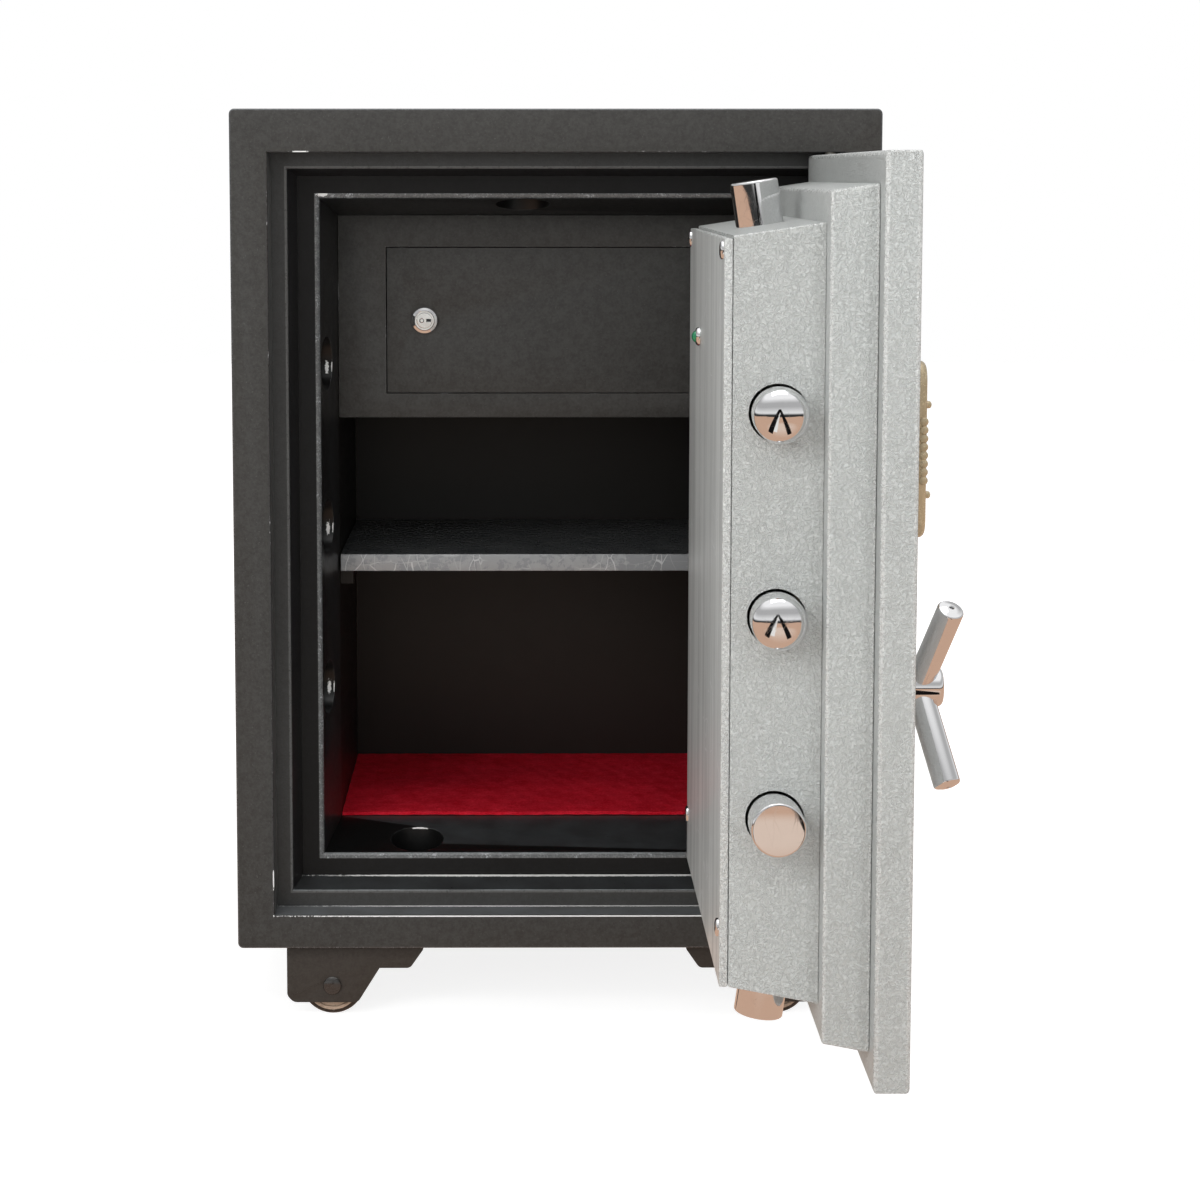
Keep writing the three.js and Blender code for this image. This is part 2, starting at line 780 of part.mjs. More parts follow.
function boltBox() {
  const front = doorLevel(boxInset, boxStart + seatGap);
  const back = doorLevel(boxInset + boxTaper, boxEnd);
  const insideFront = doorLevel(boxInset + boxWall, boxStart + seatGap + boxWall);
  const insideBack = doorLevel(boxInset + boxTaper + boxWall, boxEnd);
  const inside = taperedBlock(insideFront, carriedOn(insideFront, insideBack, cutOverrun));
  const wallReach = boxWall + boxTaper + cutOverrun;
  const sideHoles = sideBoltHeights.map((z) => rod(
    boltRadius + boltHoleClearance,
    point(-boxHalfWidth - wallReach, atDepth(boltLineDepth), z),
    point(wallReach - boxHalfWidth, atDepth(boltLineDepth), z),
    fineSides,
  ));
  const endHoles = [1, -1].map((side) => rod(
    endBoltRadius + boltHoleClearance,
    endBoltRoot(side).addScaledVector(endBoltWay(side), -wallReach),
    endBoltRoot(side).addScaledVector(endBoltWay(side), wallReach),
    fineSides,
  ));
  return cut(
    solid(taperedBlock(front, back)),
    inside,
    ...sideHoles,
    ...endHoles,
    spindleBore(boxStart, boxStart + boxWall),
  );
}

const buttonX = buttonOffset;
const buttonZ = doorCentreZ + buttonRise;
const coverBackY = atDepth(coverEnd);

function coverPlate() {
  const level = doorLevel(boxInset + boxTaper, boxEnd + seatGap);
  const slab = taperedBlock(level, { ...level, y: coverBackY });
  const acrossX = level.halfWidth - coverScrewInset;
  const screwHighZ = doorCentreZ + level.halfHeight - coverScrewInset;
  const screwLowZ = doorCentreZ - level.halfHeight + coverScrewLowInset;
  const screwProfile = [
    [0, 0],
    [coverScrewRadius, 0],
    [coverScrewRadius, coverThickness / 2 + coverScrewHeight * coverScrewRimShare],
    [coverScrewRadius * coverScrewCrownShare, coverThickness / 2 + coverScrewHeight],
    [0, coverThickness / 2 + coverScrewHeight],
  ];
  const screws = [-1, 1].flatMap((side) => [screwLowZ, screwHighZ].map((z) => {
    const base = point(side * acrossX, coverBackY - coverThickness / 2, z);
    return turned(screwProfile, base, inward, smallSides);
  }));
  const hole = rod(
    buttonRadius + runningGap,
    point(buttonX, coverBackY - coverThickness - cutOverrun, buttonZ),
    point(buttonX, coverBackY + cutOverrun, buttonZ),
    plainSides,
  );
  return cut(join(slab, ...screws), hole);
}

function buttonBezel() {
  const base = point(buttonX, coverBackY + seatGap, buttonZ);
  const body = turned([
    [0, 0],
    [bezelRadius, 0],
    [bezelRadius, bezelProud / 2],
    [buttonRadius + bezelProud / 2, bezelProud],
    [0, bezelProud],
  ], base, inward, plainSides);
  const hole = rod(
    buttonRadius + runningGap,
    point(buttonX, coverBackY - cutOverrun, buttonZ),
    point(buttonX, coverBackY + bezelProud + cutOverrun, buttonZ),
    plainSides,
  );
  return cut(solid(body), hole);
}

function resetButton() {
  const rise = buttonSeatDepth + buttonProud;
  const dome = buttonRadius * buttonDomeShare;
  return turned([
    [0, 0],
    [buttonRadius, 0],
    [buttonRadius, rise - dome],
    [buttonRadius * buttonShoulderShare, rise - dome * (1 - buttonShoulderShare)],
    [buttonRadius * buttonCrownShare, rise],
    [0, rise],
  ], point(buttonX, coverBackY - buttonSeatDepth, buttonZ), inward, plainSides);
}

// Bolt gear: the disc's three pins work a bar and two links in slots
const discStart = boxStart + seatGap + boxWall + discFloorGap;
const discEnd = discStart + discThickness;
const linkStart = discEnd + runningGap;
const linkEnd = linkStart + linkThickness;
const barStart = linkEnd + runningGap;
const barEnd = barStart + barThickness;
const crankRadius = boltThrow / (2 * Math.sin(gearTurn / 2));
const crankDip = crankRadius * (1 - Math.cos(gearTurn / 2));
const crankAngles = [Math.PI / 2 + gearTurn / 2, gearTurn / 2, Math.PI + gearTurn / 2];
const crankPlace = (angle) => ({
  x: handleX + crankRadius * Math.cos(angle),
  z: handleZ + crankRadius * Math.sin(angle),
});
const barCrank = crankPlace(crankAngles[0]);
const topCrank = crankPlace(crankAngles[1]);
const bottomCrank = crankPlace(crankAngles[2]);

function driveDisc() {
  const spindle = rod(
    spindleRadius,
    point(handleX, atDepth(-spindleSeat), handleZ),
    point(handleX, atDepth(discEnd - discThickness / 2), handleZ),
    plainSides,
  );
  const disc = rod(
    discRadius,
    point(handleX, atDepth(discStart), handleZ),
    point(handleX, atDepth(discEnd), handleZ),
    fineSides,
  );
  const pin = (place, toDepth) => rod(
    crankPinRadius,
    point(place.x, atDepth(discEnd - discThickness / 2), place.z),
    point(place.x, atDepth(toDepth), place.z),
    smallSides,
  );
  return join(spindle, disc, pin(barCrank, barEnd), pin(topCrank, linkEnd), pin(bottomCrank, linkEnd));
}

// A slot for a crank pin: long one way for the pin's swing, close the other way
function crankSlot(low, high, fromDepth, toDepth) {
  const room = crankPinRadius + crankPinGap;
  return block(
    point(low.x - room, atDepth(fromDepth) - seatGap, low.z - room),
    point(high.x + room, atDepth(toDepth) + seatGap, high.z + room),
  );
}

function boltBar() {
  const halfHeight = boltPitch + boltRadius + barMargin;
  const left = boltThrow - boxHalfWidth;
  const plate = block(
    point(left, atDepth(barStart), doorCentreZ - halfHeight),
    point(left + barPlateWidth, atDepth(barEnd), doorCentreZ + halfHeight),
  );
  const flange = block(
    point(left, atDepth(barStart), doorCentreZ - halfHeight),
    point(left + barThickness, atDepth(barStart + barFlangeHeight), doorCentreZ + halfHeight),
  );
  const slotTop = { x: barCrank.x, z: barCrank.z + crankDip };
  const room = crankPinRadius + crankPinGap + slotMargin;
  const tab = block(
    point(barCrank.x - room, atDepth(barStart), barCrank.z - room),
    point(left + barThickness, atDepth(barEnd), slotTop.z + room),
  );
  return cut(join(plate, flange, tab), crankSlot(barCrank, slotTop, barStart, barEnd));
}

function sideBolt(z, rounding, steps) {
  const tail = boxHalfWidth - boltThrow + seatGap;
  const length = sideBoltTip - tail;
  const profile = [[0, 0], [boltRadius, 0]];
  for (let i = 0; i <= steps; i += 1) {
    const angle = Math.PI / 2 * i / steps;
    profile.push([
      boltRadius - rounding * (1 - Math.cos(angle)),
      length - rounding * (1 - Math.sin(angle)),
    ]);
  }
  profile.push([0, length]);
  return turned(profile, point(-tail, atDepth(boltLineDepth), z), point(-1, 0, 0), fineSides);
}

// An end bolt: a leaning cylinder, its tail cut level, with a headed stem for the link's flange
const endTailRise = boxHalfHeight - boltThrow - endBoltTail;
const stemY = atDepth(boltLineDepth) - (boltThrow + endBoltTail) * Math.tan(boxSlope);

// A flat on each end bolt's tail clears the floor of the box when the bolt is drawn in
const boltFlatDepth = boxStart + seatGap + boxWall + runningGap + boltThrow * Math.tan(boxSlope);

function endBolt(side) {
  const root = endBoltRoot(side);
  const way = endBoltWay(side);
  const tip = root.clone().addScaledVector(way, boltProud);
  const tail = root.clone().addScaledVector(way, -boltThrow - endBoltTail - cutOverrun);
  const length = tip.distanceTo(tail);
  const body = turned([
    [0, 0],
    [endBoltRadius, 0],
    [endBoltRadius, length - boltChamfer],
    [endBoltRadius - boltChamfer, length],
    [0, length],
  ], tail, way, fineSides);
  const tailZ = doorCentreZ + side * endTailRise;
  const pastZ = tailZ - side * 2 * (endBoltRadius + cutOverrun);
  const reach = endBoltRadius + cutOverrun;
  const past = block(
    point(root.x - reach, stemY - reach, Math.min(tailZ, pastZ)),
    point(root.x + reach, stemY + reach, Math.max(tailZ, pastZ)),
  );
  const flat = block(
    point(root.x - reach, stemY - 2 * reach, Math.min(pastZ, root.z)),
    point(root.x + reach, atDepth(boltFlatDepth), Math.max(pastZ, root.z)),
  );
  const headZ = tailZ - side * (linkThickness + 2 * seatGap);
  const stem = rod(
    stemRadius,
    point(root.x, stemY, tailZ + side * stemHeadHeight),
    point(root.x, stemY, headZ - side * stemHeadHeight / 2),
    smallSides,
  );
  const head = rod(
    stemHeadRadius,
    point(root.x, stemY, headZ),
    point(root.x, stemY, headZ - side * stemHeadHeight),
    smallSides,
  );
  return cut(solid(body), past, flat).add(solid(stem)).add(solid(head));
}

// A link's flange, slotted for the bolt's stem, which shifts in depth as the bolt slides
function linkFlange(side) {
  const x = endBoltRoot(side).x;
  const nearZ = doorCentreZ + side * (endTailRise - seatGap);
  const farZ = nearZ - side * linkThickness;
  const room = stemRadius + crankPinGap;
  const plate = block(
    point(x - linkWidth / 2, atDepth(linkStart), Math.min(nearZ, farZ)),
    point(x + linkWidth / 2, stemY + linkFlangeDepth / 2, Math.max(nearZ, farZ)),
  );
  const slot = block(
    point(x - room, stemY - boltThrow * Math.tan(boxSlope) - room, Math.min(nearZ, farZ) - seatGap),
    point(x + room, stemY + room, Math.max(nearZ, farZ) + seatGap),
  );
  return cut(solid(plate), slot);
}

const linkBlock = (lowX, lowZ, highX, highZ) =>
  block(point(lowX, atDepth(linkStart), lowZ), point(highX, atDepth(linkEnd), highZ));
const pinRoom = crankPinRadius + crankPinGap + slotMargin;

function topLink() {
  const x = endBoltRoot(1).x;
  const flangeZ = doorCentreZ + endTailRise - seatGap;
  const foot = linkBlock(topCrank.x - pinRoom, topCrank.z - pinRoom, x + linkWidth / 2, topCrank.z + pinRoom);
  const strap = linkBlock(x - linkWidth / 2, topCrank.z, x + linkWidth / 2, flangeZ);
  const slot = crankSlot(topCrank, { x: topCrank.x + crankDip, z: topCrank.z }, linkStart, linkEnd);
  return cut(join(foot, strap).add(linkFlange(1)), slot);
}

function bottomLink() {
  const x = endBoltRoot(-1).x;
  const flangeZ = doorCentreZ - endTailRise + seatGap;
  const elbowZ = handleZ - linkElbowDrop;
  const riserLeft = bottomCrank.x - crankDip - pinRoom;
  const strap = linkBlock(x - linkWidth / 2, flangeZ, x + linkWidth / 2, elbowZ);
  const elbow = linkBlock(riserLeft, elbowZ - linkWidth, x + linkWidth / 2, elbowZ);
  const riser = linkBlock(riserLeft, elbowZ - linkWidth, bottomCrank.x + pinRoom, bottomCrank.z + pinRoom);
  const slot = crankSlot({ x: bottomCrank.x - crankDip, z: bottomCrank.z }, bottomCrank, linkStart, linkEnd);
  return cut(join(strap, elbow, riser).add(linkFlange(-1)), slot);
}

// Handle: a hub on the spindle and three leaning spokes
const outward = point(0, -1, 0);

function handleHub() {
  const base = point(handleX, atDepth(-seatGap), handleZ);
  const body = turned([
    [0, 0],
    [hubRadius, 0],
    [hubRadius, hubProud - hubChamfer],
    [hubRadius - hubChamfer, hubProud],
    [0, hubProud],
  ], base, outward, fineSides);
  const bore = rod(
    spindleRadius + seatGap,
    point(handleX, atDepth(cutOverrun), handleZ),
    point(handleX, atDepth(-spindleSeat - seatGap), handleZ),
    plainSides,
  );
  return cut(solid(body), bore);
}

function handleSpoke(angle) {
  const rise = point(0, spokeTipRise - spokeRootRise, 0).negate();
  const across = point(-Math.cos(angle), 0, Math.sin(angle)).multiplyScalar(spokeLength);
  const way = across.add(rise).normalize();
  const root = point(handleX, atDepth(-spokeRootRise), handleZ);
  const length = spokeLength;
  const bar = turned([
    [0, 0],
    [spokeRadius, 0],
    [spokeRadius, length - spokeChamfer],
    [spokeRadius - spokeChamfer, length],
    [spokeCentreHoleRadius, length + spokeChamfer / 2],
    [spokeCentreHoleRadius, length - spokeCentreHoleDepth],
    [0, length - spokeCentreHoleDepth],
  ], root, way, plainSides);
  const hub = rod(
    hubRadius + seatGap,
    point(handleX, atDepth(cutOverrun), handleZ),
    point(handleX, atDepth(-hubProud - cutOverrun), handleZ),
    fineSides,
  );
  return cut(solid(bar), hub);
}

// Keypad: a moulded housing with ribbed grips at both sides and a well for each key
const keypadX = keypadEdgeInset + keypadWidth / 2 - plateHalfWidth;
const keypadZ = doorCentreZ + keypadRise;
const keypadFrontY = atDepth(-seatGap - keypadThickness);

const keyPlaces = [];
for (let row = 0; row < keyRows; row += 1) {
  for (let column = 0; column < keyColumns; column += 1) {
    keyPlaces.push({
      x: keypadX + (column - (keyColumns - 1) / 2) * keyPitchAcross,
      z: keypadZ - keyBlockShift - (row - (keyRows - 1) / 2) * keyPitchUp,
    });
  }
}

function keypadHousing() {
  const outline = roundedRectangle(keypadWidth / 2, keypadHeight / 2, keypadX, keypadZ, keypadRounding);
  const backY = atDepth(-seatGap);
  const shell = bevelledSlab(outline, keypadFrontY, backY, keypadEdgeBevel, rimSteps, cornerSteps);
  const wells = keyPlaces.map(({ x, z }) => block(
    point(x - keyWidth / 2 - keyGap, keypadFrontY - cutOverrun, z - keyHeight / 2 - keyGap),
    point(x + keyWidth / 2 + keyGap, keypadFrontY + keySeatDepth, z + keyHeight / 2 + keyGap),
  ));
  const additions = [];
  const ribLength = pipInset + gripRadius;
  for (const side of [-1, 1]) {
    const edgeX = keypadX + side * keypadWidth / 2;
    for (let i = 0; i < gripCount; i += 1) {
      const z = keypadZ + (i - (gripCount - 1) / 2) * gripPitch;
      additions.push(turned([
        [0, 0],
        [gripRadius, 0],
        [gripRadius, ribLength],
        [gripRadius * gripTipShare, ribLength + gripRadius * gripTipRiseShare],
        [0, ribLength + gripRadius * gripTipRiseShare],
      ], point(edgeX - side * ribLength, keypadFrontY + gripRadius / 2, z), point(side, 0, 0), tinySides));
    }
    for (const end of [-1, 1]) {
      const z = keypadZ + end * pipSpread;
      additions.push(turned([
        [0, 0],
        [pipRadius, 0],
        [pipRadius, pipProud + keypadEdgeBevel - pipRadius * pipShoulderShare],
        [pipRadius / 2, pipProud + keypadEdgeBevel],
        [0, pipProud + keypadEdgeBevel],
      ], point(edgeX - side * pipInset, keypadFrontY + keypadEdgeBevel, z), outward, tinySides));
    }
  }
  const full = additions.reduce((body, extra) => body.add(solid(extra)), solid(shell));
  return cut(full, ...wells);
}

function keypadKey({ x, z }) {
  const outline = new THREE.Shape([
    new THREE.Vector2(x - keyWidth / 2, z - keyHeight / 2),
    new THREE.Vector2(x + keyWidth / 2, z - keyHeight / 2),
    new THREE.Vector2(x + keyWidth / 2, z + keyHeight / 2),
    new THREE.Vector2(x - keyWidth / 2, z + keyHeight / 2),
  ]);
  const back = keypadFrontY + keySeatDepth - keyStroke - keyGap;
  return bevelledSlab(outline, keypadFrontY - keyProud, back, keyChamfer, 1, 1);
}

// Pivot pins stand in the front frame and reach into the door plate
function pivotPin(side) {
  const rootZ = doorCentreZ + side * (recessHalfHeight + pivotReach);
  const tipZ = doorCentreZ + side * (plateHalfHeight - pivotReach);
  return rod(
    pivotRadius,
    point(pivotX, atDepth(pivotDepth), Math.min(rootZ, tipZ)),
    point(pivotX, atDepth(pivotDepth), Math.max(rootZ, tipZ)),
    plainSides,
  );
}

// Castors: a folded bracket whose two cheeks carry a wheel on a headed axle
function castorPlaces(sideX, sideY) {
  const outerX = sideX * (cabinetWidth / 2 - bracketSetIn);
  const faceOfCheek = sideY * (cabinetDepth / 2 - bracketFaceInset);
  return { outerX, outerY: faceOfCheek, innerY: faceOfCheek - sideY * (2 * bracketPlate + bracketInside) };
}

const bracketTopZ = -seatGap;
const axleX = (sideX) => sideX * (cabinetWidth / 2 - bracketSetIn - axleOffset);

function castorBracket(sideX, sideY) {
  const { outerX, outerY, innerY } = castorPlaces(sideX, sideY);
  const outline = [
    [0, 0],
    [0, bracketDrop - bracketCornerCut],
    [bracketCornerCut, bracketDrop],
    [bracketFootLength, bracketDrop],
    [bracketNotchStart, bracketNotchDrop],
    [bracketNotchEnd, bracketNotchDrop],
    [bracketLength, bracketTipDrop],
    [bracketLength, 0],
  ].map(([along, drop]) => [outerX - sideX * along, bracketTopZ - drop]);
  const lowY = Math.min(outerY, innerY);
  const highY = Math.max(outerY, innerY);
  const innerX = outerX - sideX * bracketLength;
  const top = block(
    point(Math.min(outerX, innerX), lowY, bracketTopZ - bracketPlate),
    point(Math.max(outerX, innerX), highY, bracketTopZ),
  );
  const hole = rod(
    axleRadius + runningGap,
    point(axleX(sideX), lowY - cutOverrun, -axleDrop),
    point(axleX(sideX), highY + cutOverrun, -axleDrop),
    smallSides,
  );
  return cut(
    join(
      top,
      profileAlongY(outline, lowY, lowY + bracketPlate),
      profileAlongY(outline, highY - bracketPlate, highY),
    ),
    hole,
  );
}

function castorAxle(sideX, sideY) {
  const { outerY, innerY } = castorPlaces(sideX, sideY);
  const lowY = Math.min(outerY, innerY) - runningGap;
  const highY = Math.max(outerY, innerY) + runningGap;
  const x = axleX(sideX);
  const head = [
    [0, 0],
    [axleHeadRadius, 0],
    [axleHeadRadius, axleHeadHeight * axleHeadRimShare],
    [axleHeadRadius * axleHeadShoulderShare, axleHeadHeight * axleHeadShoulderRiseShare],
    [axleHeadRadius * axleHeadCrownShare, axleHeadHeight],
    [0, axleHeadHeight],
  ];
  const overlap = axleHeadHeight * axleHeadRimShare;
  return join(
    rod(axleRadius, point(x, lowY - overlap, -axleDrop), point(x, highY + overlap, -axleDrop), smallSides),
    turned(head, point(x, lowY, -axleDrop), outward, plainSides),
    turned(head, point(x, highY, -axleDrop), inward, plainSides),
  );
}

function castorWheel(sideX, sideY) {
  const { outerY, innerY } = castorPlaces(sideX, sideY);
  const middleY = (outerY + innerY) / 2;
  const x = axleX(sideX);
  const half = wheelWidth / 2;
  const wheel = new THREE.LatheGeometry([
    [0, wheelFaceDish - half],
    [wheelFaceRadius, wheelFaceDish - half],
    [wheelFaceRadius, -half],
    [wheelRadius - wheelRimBevel, -half],
    [wheelRadius, wheelRimBevel - half],
    [wheelRadius, half - wheelRimBevel],
    [wheelRadius - wheelRimBevel, half],
    [wheelFaceRadius, half],
    [wheelFaceRadius, half - wheelFaceDish],
    [0, half - wheelFaceDish],
  ].map(([radius, height]) => new THREE.Vector2(radius, height)), fineSides)
    .rotateY(Math.PI / fineSides)
    .translate(x, middleY, -axleDrop);
  const bore = rod(
    axleRadius + wheelBoreGap,
    point(x, middleY - wheelWidth, -axleDrop),
    point(x, middleY + wheelWidth, -axleDrop),
    smallSides,
  );
  return cut(solid(wheel), bore);
}

// The cabinet and what stays with it
piece('outer_shell', cabinetSkin(), charcoalPaint());
piece('front_frame', frontFrame(), charcoalPaint());
piece('jamb_ring_outer', outerJambRing(), charcoalPaint());
piece('jamb_ring_inner', innerJambRing(), charcoalPaint());
piece('inner_liner', innerLiner(), blackPaint());
piece('fire_filling', fireFillingBlock(), fireFilling());
piece('shelf', shelfTray(), satinSteel());
piece('felt_mat', feltMat(), redFelt());
piece('pivot_pin_top', pivotPin(1), zincSteel());
piece('pivot_pin_bottom', pivotPin(-1), zincSteel());
piece('locker_housing', lockerHousing(), charcoalPaint());
piece('locker_door', lockerPanel(), charcoalPaint());
piece('locker_hinge_pin', lockerPin(0), zincSteel());
piece('lock_barrel', lockBarrel(), chromePlate());
piece('lock_plug', lockPlug(), chromePlate());
piece('lock_cam', lockCam(), zincSteel());

for (const [sideY, row] of [[-1, 'front'], [1, 'rear']]) {
  for (const [sideX, hand] of [[-1, 'left'], [1, 'right']]) {
    piece(`castor_bracket_${row}_${hand}`, castorBracket(sideX, sideY), charcoalPaint());
    piece(`castor_wheel_${row}_${hand}`, castorWheel(sideX, sideY), darkRubber());
    piece(`castor_axle_${row}_${hand}`, castorAxle(sideX, sideY), zincSteel());
  }
}

const cabinet = new THREE.Group();
cabinet.add(...meshes.splice(0));

// The door and what it carries, drawn shut and swung open about the pivot pins
piece('door_plate', doorPlate(), hammeredPaint());
piece('door_plug', doorPlug(), hammeredPaint());
piece('bolt_box', boltBox(), hammeredPaint());
piece('cover_plate', coverPlate(), satinSteel());
piece('button_bezel', buttonBezel(), chromePlate());
piece('reset_button', resetButton(), greenPlastic());
piece('drive_disc', driveDisc(), zincSteel());
piece('bolt_bar', boltBar(), zincSteel());
piece('side_bolt_top', sideBolt(sideBoltHeights[0], boltRounding, roundingSteps), chromePlate());
piece('side_bolt_middle', sideBolt(sideBoltHeights[1], boltRounding, roundingSteps), chromePlate());
piece('side_bolt_bottom', sideBolt(sideBoltHeights[2], boltChamfer, 1), chromePlate());
piece('top_bolt', endBolt(1), chromePlate());
piece('bottom_bolt', endBolt(-1), chromePlate());
piece('top_link', topLink(), zincSteel());
piece('bottom_link', bottomLink(), zincSteel());
piece('handle_hub', handleHub(), chromePlate());
for (let i = 0; i < spokeCount; i += 1) {
  const angle = spokeFirstAngle + 2 * Math.PI * i / spokeCount;
  piece(`handle_spoke_${i + 1}`, handleSpoke(angle), chromePlate());
}
piece('keypad_housing', keypadHousing(), goldPlastic());
keyPlaces.forEach((place, i) => piece(`keypad_key_${i + 1}`, keypadKey(place), darkRubber()));

const doorInPlace = new THREE.Group();
doorInPlace.position.set(-pivotX, -atDepth(pivotDepth), 0);
doorInPlace.add(...meshes.splice(0));

const swungDoor = new THREE.Group();
swungDoor.position.set(pivotX, atDepth(pivotDepth), 0);
swungDoor.rotation.z = doorOpenAngle;
swungDoor.add(doorInPlace);

const safe = new THREE.Group();
safe.add(cabinet, swungDoor);

export default safe;
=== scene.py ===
"""A fire-resistant office safe, dressed for the picture: filled cabinet, stepped plug door, bolt gear.

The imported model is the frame. Some of its nodes keep their shape and get a finish; the others are
replaced by finer pieces, modelled here at the same places. Metres, +Z up, the doorway facing -Y.
"""
import logging
import math
from collections.abc import Callable, Iterator, Sequence
from contextlib import contextmanager
from dataclasses import dataclass
from enum import Enum

import bmesh
import bpy
from mathutils import Matrix, Vector


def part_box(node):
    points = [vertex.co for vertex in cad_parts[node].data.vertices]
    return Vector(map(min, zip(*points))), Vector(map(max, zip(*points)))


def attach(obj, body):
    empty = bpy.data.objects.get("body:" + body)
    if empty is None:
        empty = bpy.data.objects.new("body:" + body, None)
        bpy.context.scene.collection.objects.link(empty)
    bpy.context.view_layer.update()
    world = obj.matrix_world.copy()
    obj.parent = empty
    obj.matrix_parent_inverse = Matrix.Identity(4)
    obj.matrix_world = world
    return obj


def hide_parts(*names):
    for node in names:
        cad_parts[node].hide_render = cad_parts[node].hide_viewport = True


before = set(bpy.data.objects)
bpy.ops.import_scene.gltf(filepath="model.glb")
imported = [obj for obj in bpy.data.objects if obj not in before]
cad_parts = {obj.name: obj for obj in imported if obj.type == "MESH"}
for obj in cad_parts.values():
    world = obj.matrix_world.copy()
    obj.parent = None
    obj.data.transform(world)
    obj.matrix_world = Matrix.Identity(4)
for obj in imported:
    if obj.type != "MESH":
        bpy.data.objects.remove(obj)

log = logging.getLogger("safe")
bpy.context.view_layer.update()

Colour = tuple[float, float, float, float]
Place = tuple[float, float, float]
Profile = Sequence[tuple[float, float]]

# The doorway's face, the open door's outer face, and the height of the door's middle
FACE_Y = -0.215
DOOR_FACE_X = 0.2096
DOOR_CENTRE_Z = 0.3122

# The ways that the parts look
UP = Vector((0, 0, 1))
OUT_OF_DOORWAY = Vector((0, -1, 0))
OUT_OF_DOOR = Vector((1, 0, 0))
INTO_CAVITY = Vector((-1, 0, 0))
FREE_EDGE = Vector((0, -1, 0))

# How near a face an edge still counts as in it, and the degrees from which folded work keeps an edge sharp
TOUCH = 0.0004
FOLD_ANGLE = 28


def shade(red: float, green: float, blue: float) -> Colour:
    """Turns a screen colour from 0 to 255 into the linear colour that a shader takes.

    Args:
        red: its red, from 0 to 255.
        green: its green.
        blue: its blue.

    Returns:
        The linear colour.
    """
    def linear(value: float) -> float:
        """One channel of the colour."""
        share = value / 255
        return share / 12.92 if share <= 0.04045 else ((share + 0.055) / 1.055) ** 2.4
    return (linear(red), linear(green), linear(blue), 1.0)


def seat(node: str, way: Vector | None = None) -> Vector:
    """Gives the middle of a node's box, or of the side of the box that faces a direction.

    Args:
        node: the node's name.
        way: the direction of the side, along one axis, or none for the middle.

    Returns:
        The place.
    """
    low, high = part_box(node)
    spot = (low + high) / 2
    for axis in range(3):
        if way and way[axis]:
            spot[axis] = (high if way[axis] > 0 else low)[axis]
    return spot


def quarter(steps: int, closed: bool = False) -> list[float]:
    """Gives even angles from 0 towards a right angle, which comes last where the arc is closed."""
    return [math.pi / 2 * i / steps for i in range(steps + closed)]


def corner(radius: float, top: float, reach: float, steps: int) -> Profile:
    """Gives the profile of a rounded corner between a round side and a flat end."""
    return [(radius - reach * (1 - math.cos(a)), top - reach * (1 - math.sin(a))) for a in quarter(steps, True)]


class Pick(Enum):
    """What an edit-mode selection is made of."""

    VERTS = "VERT"
    EDGES = "EDGE"
    FACES = "FACE"


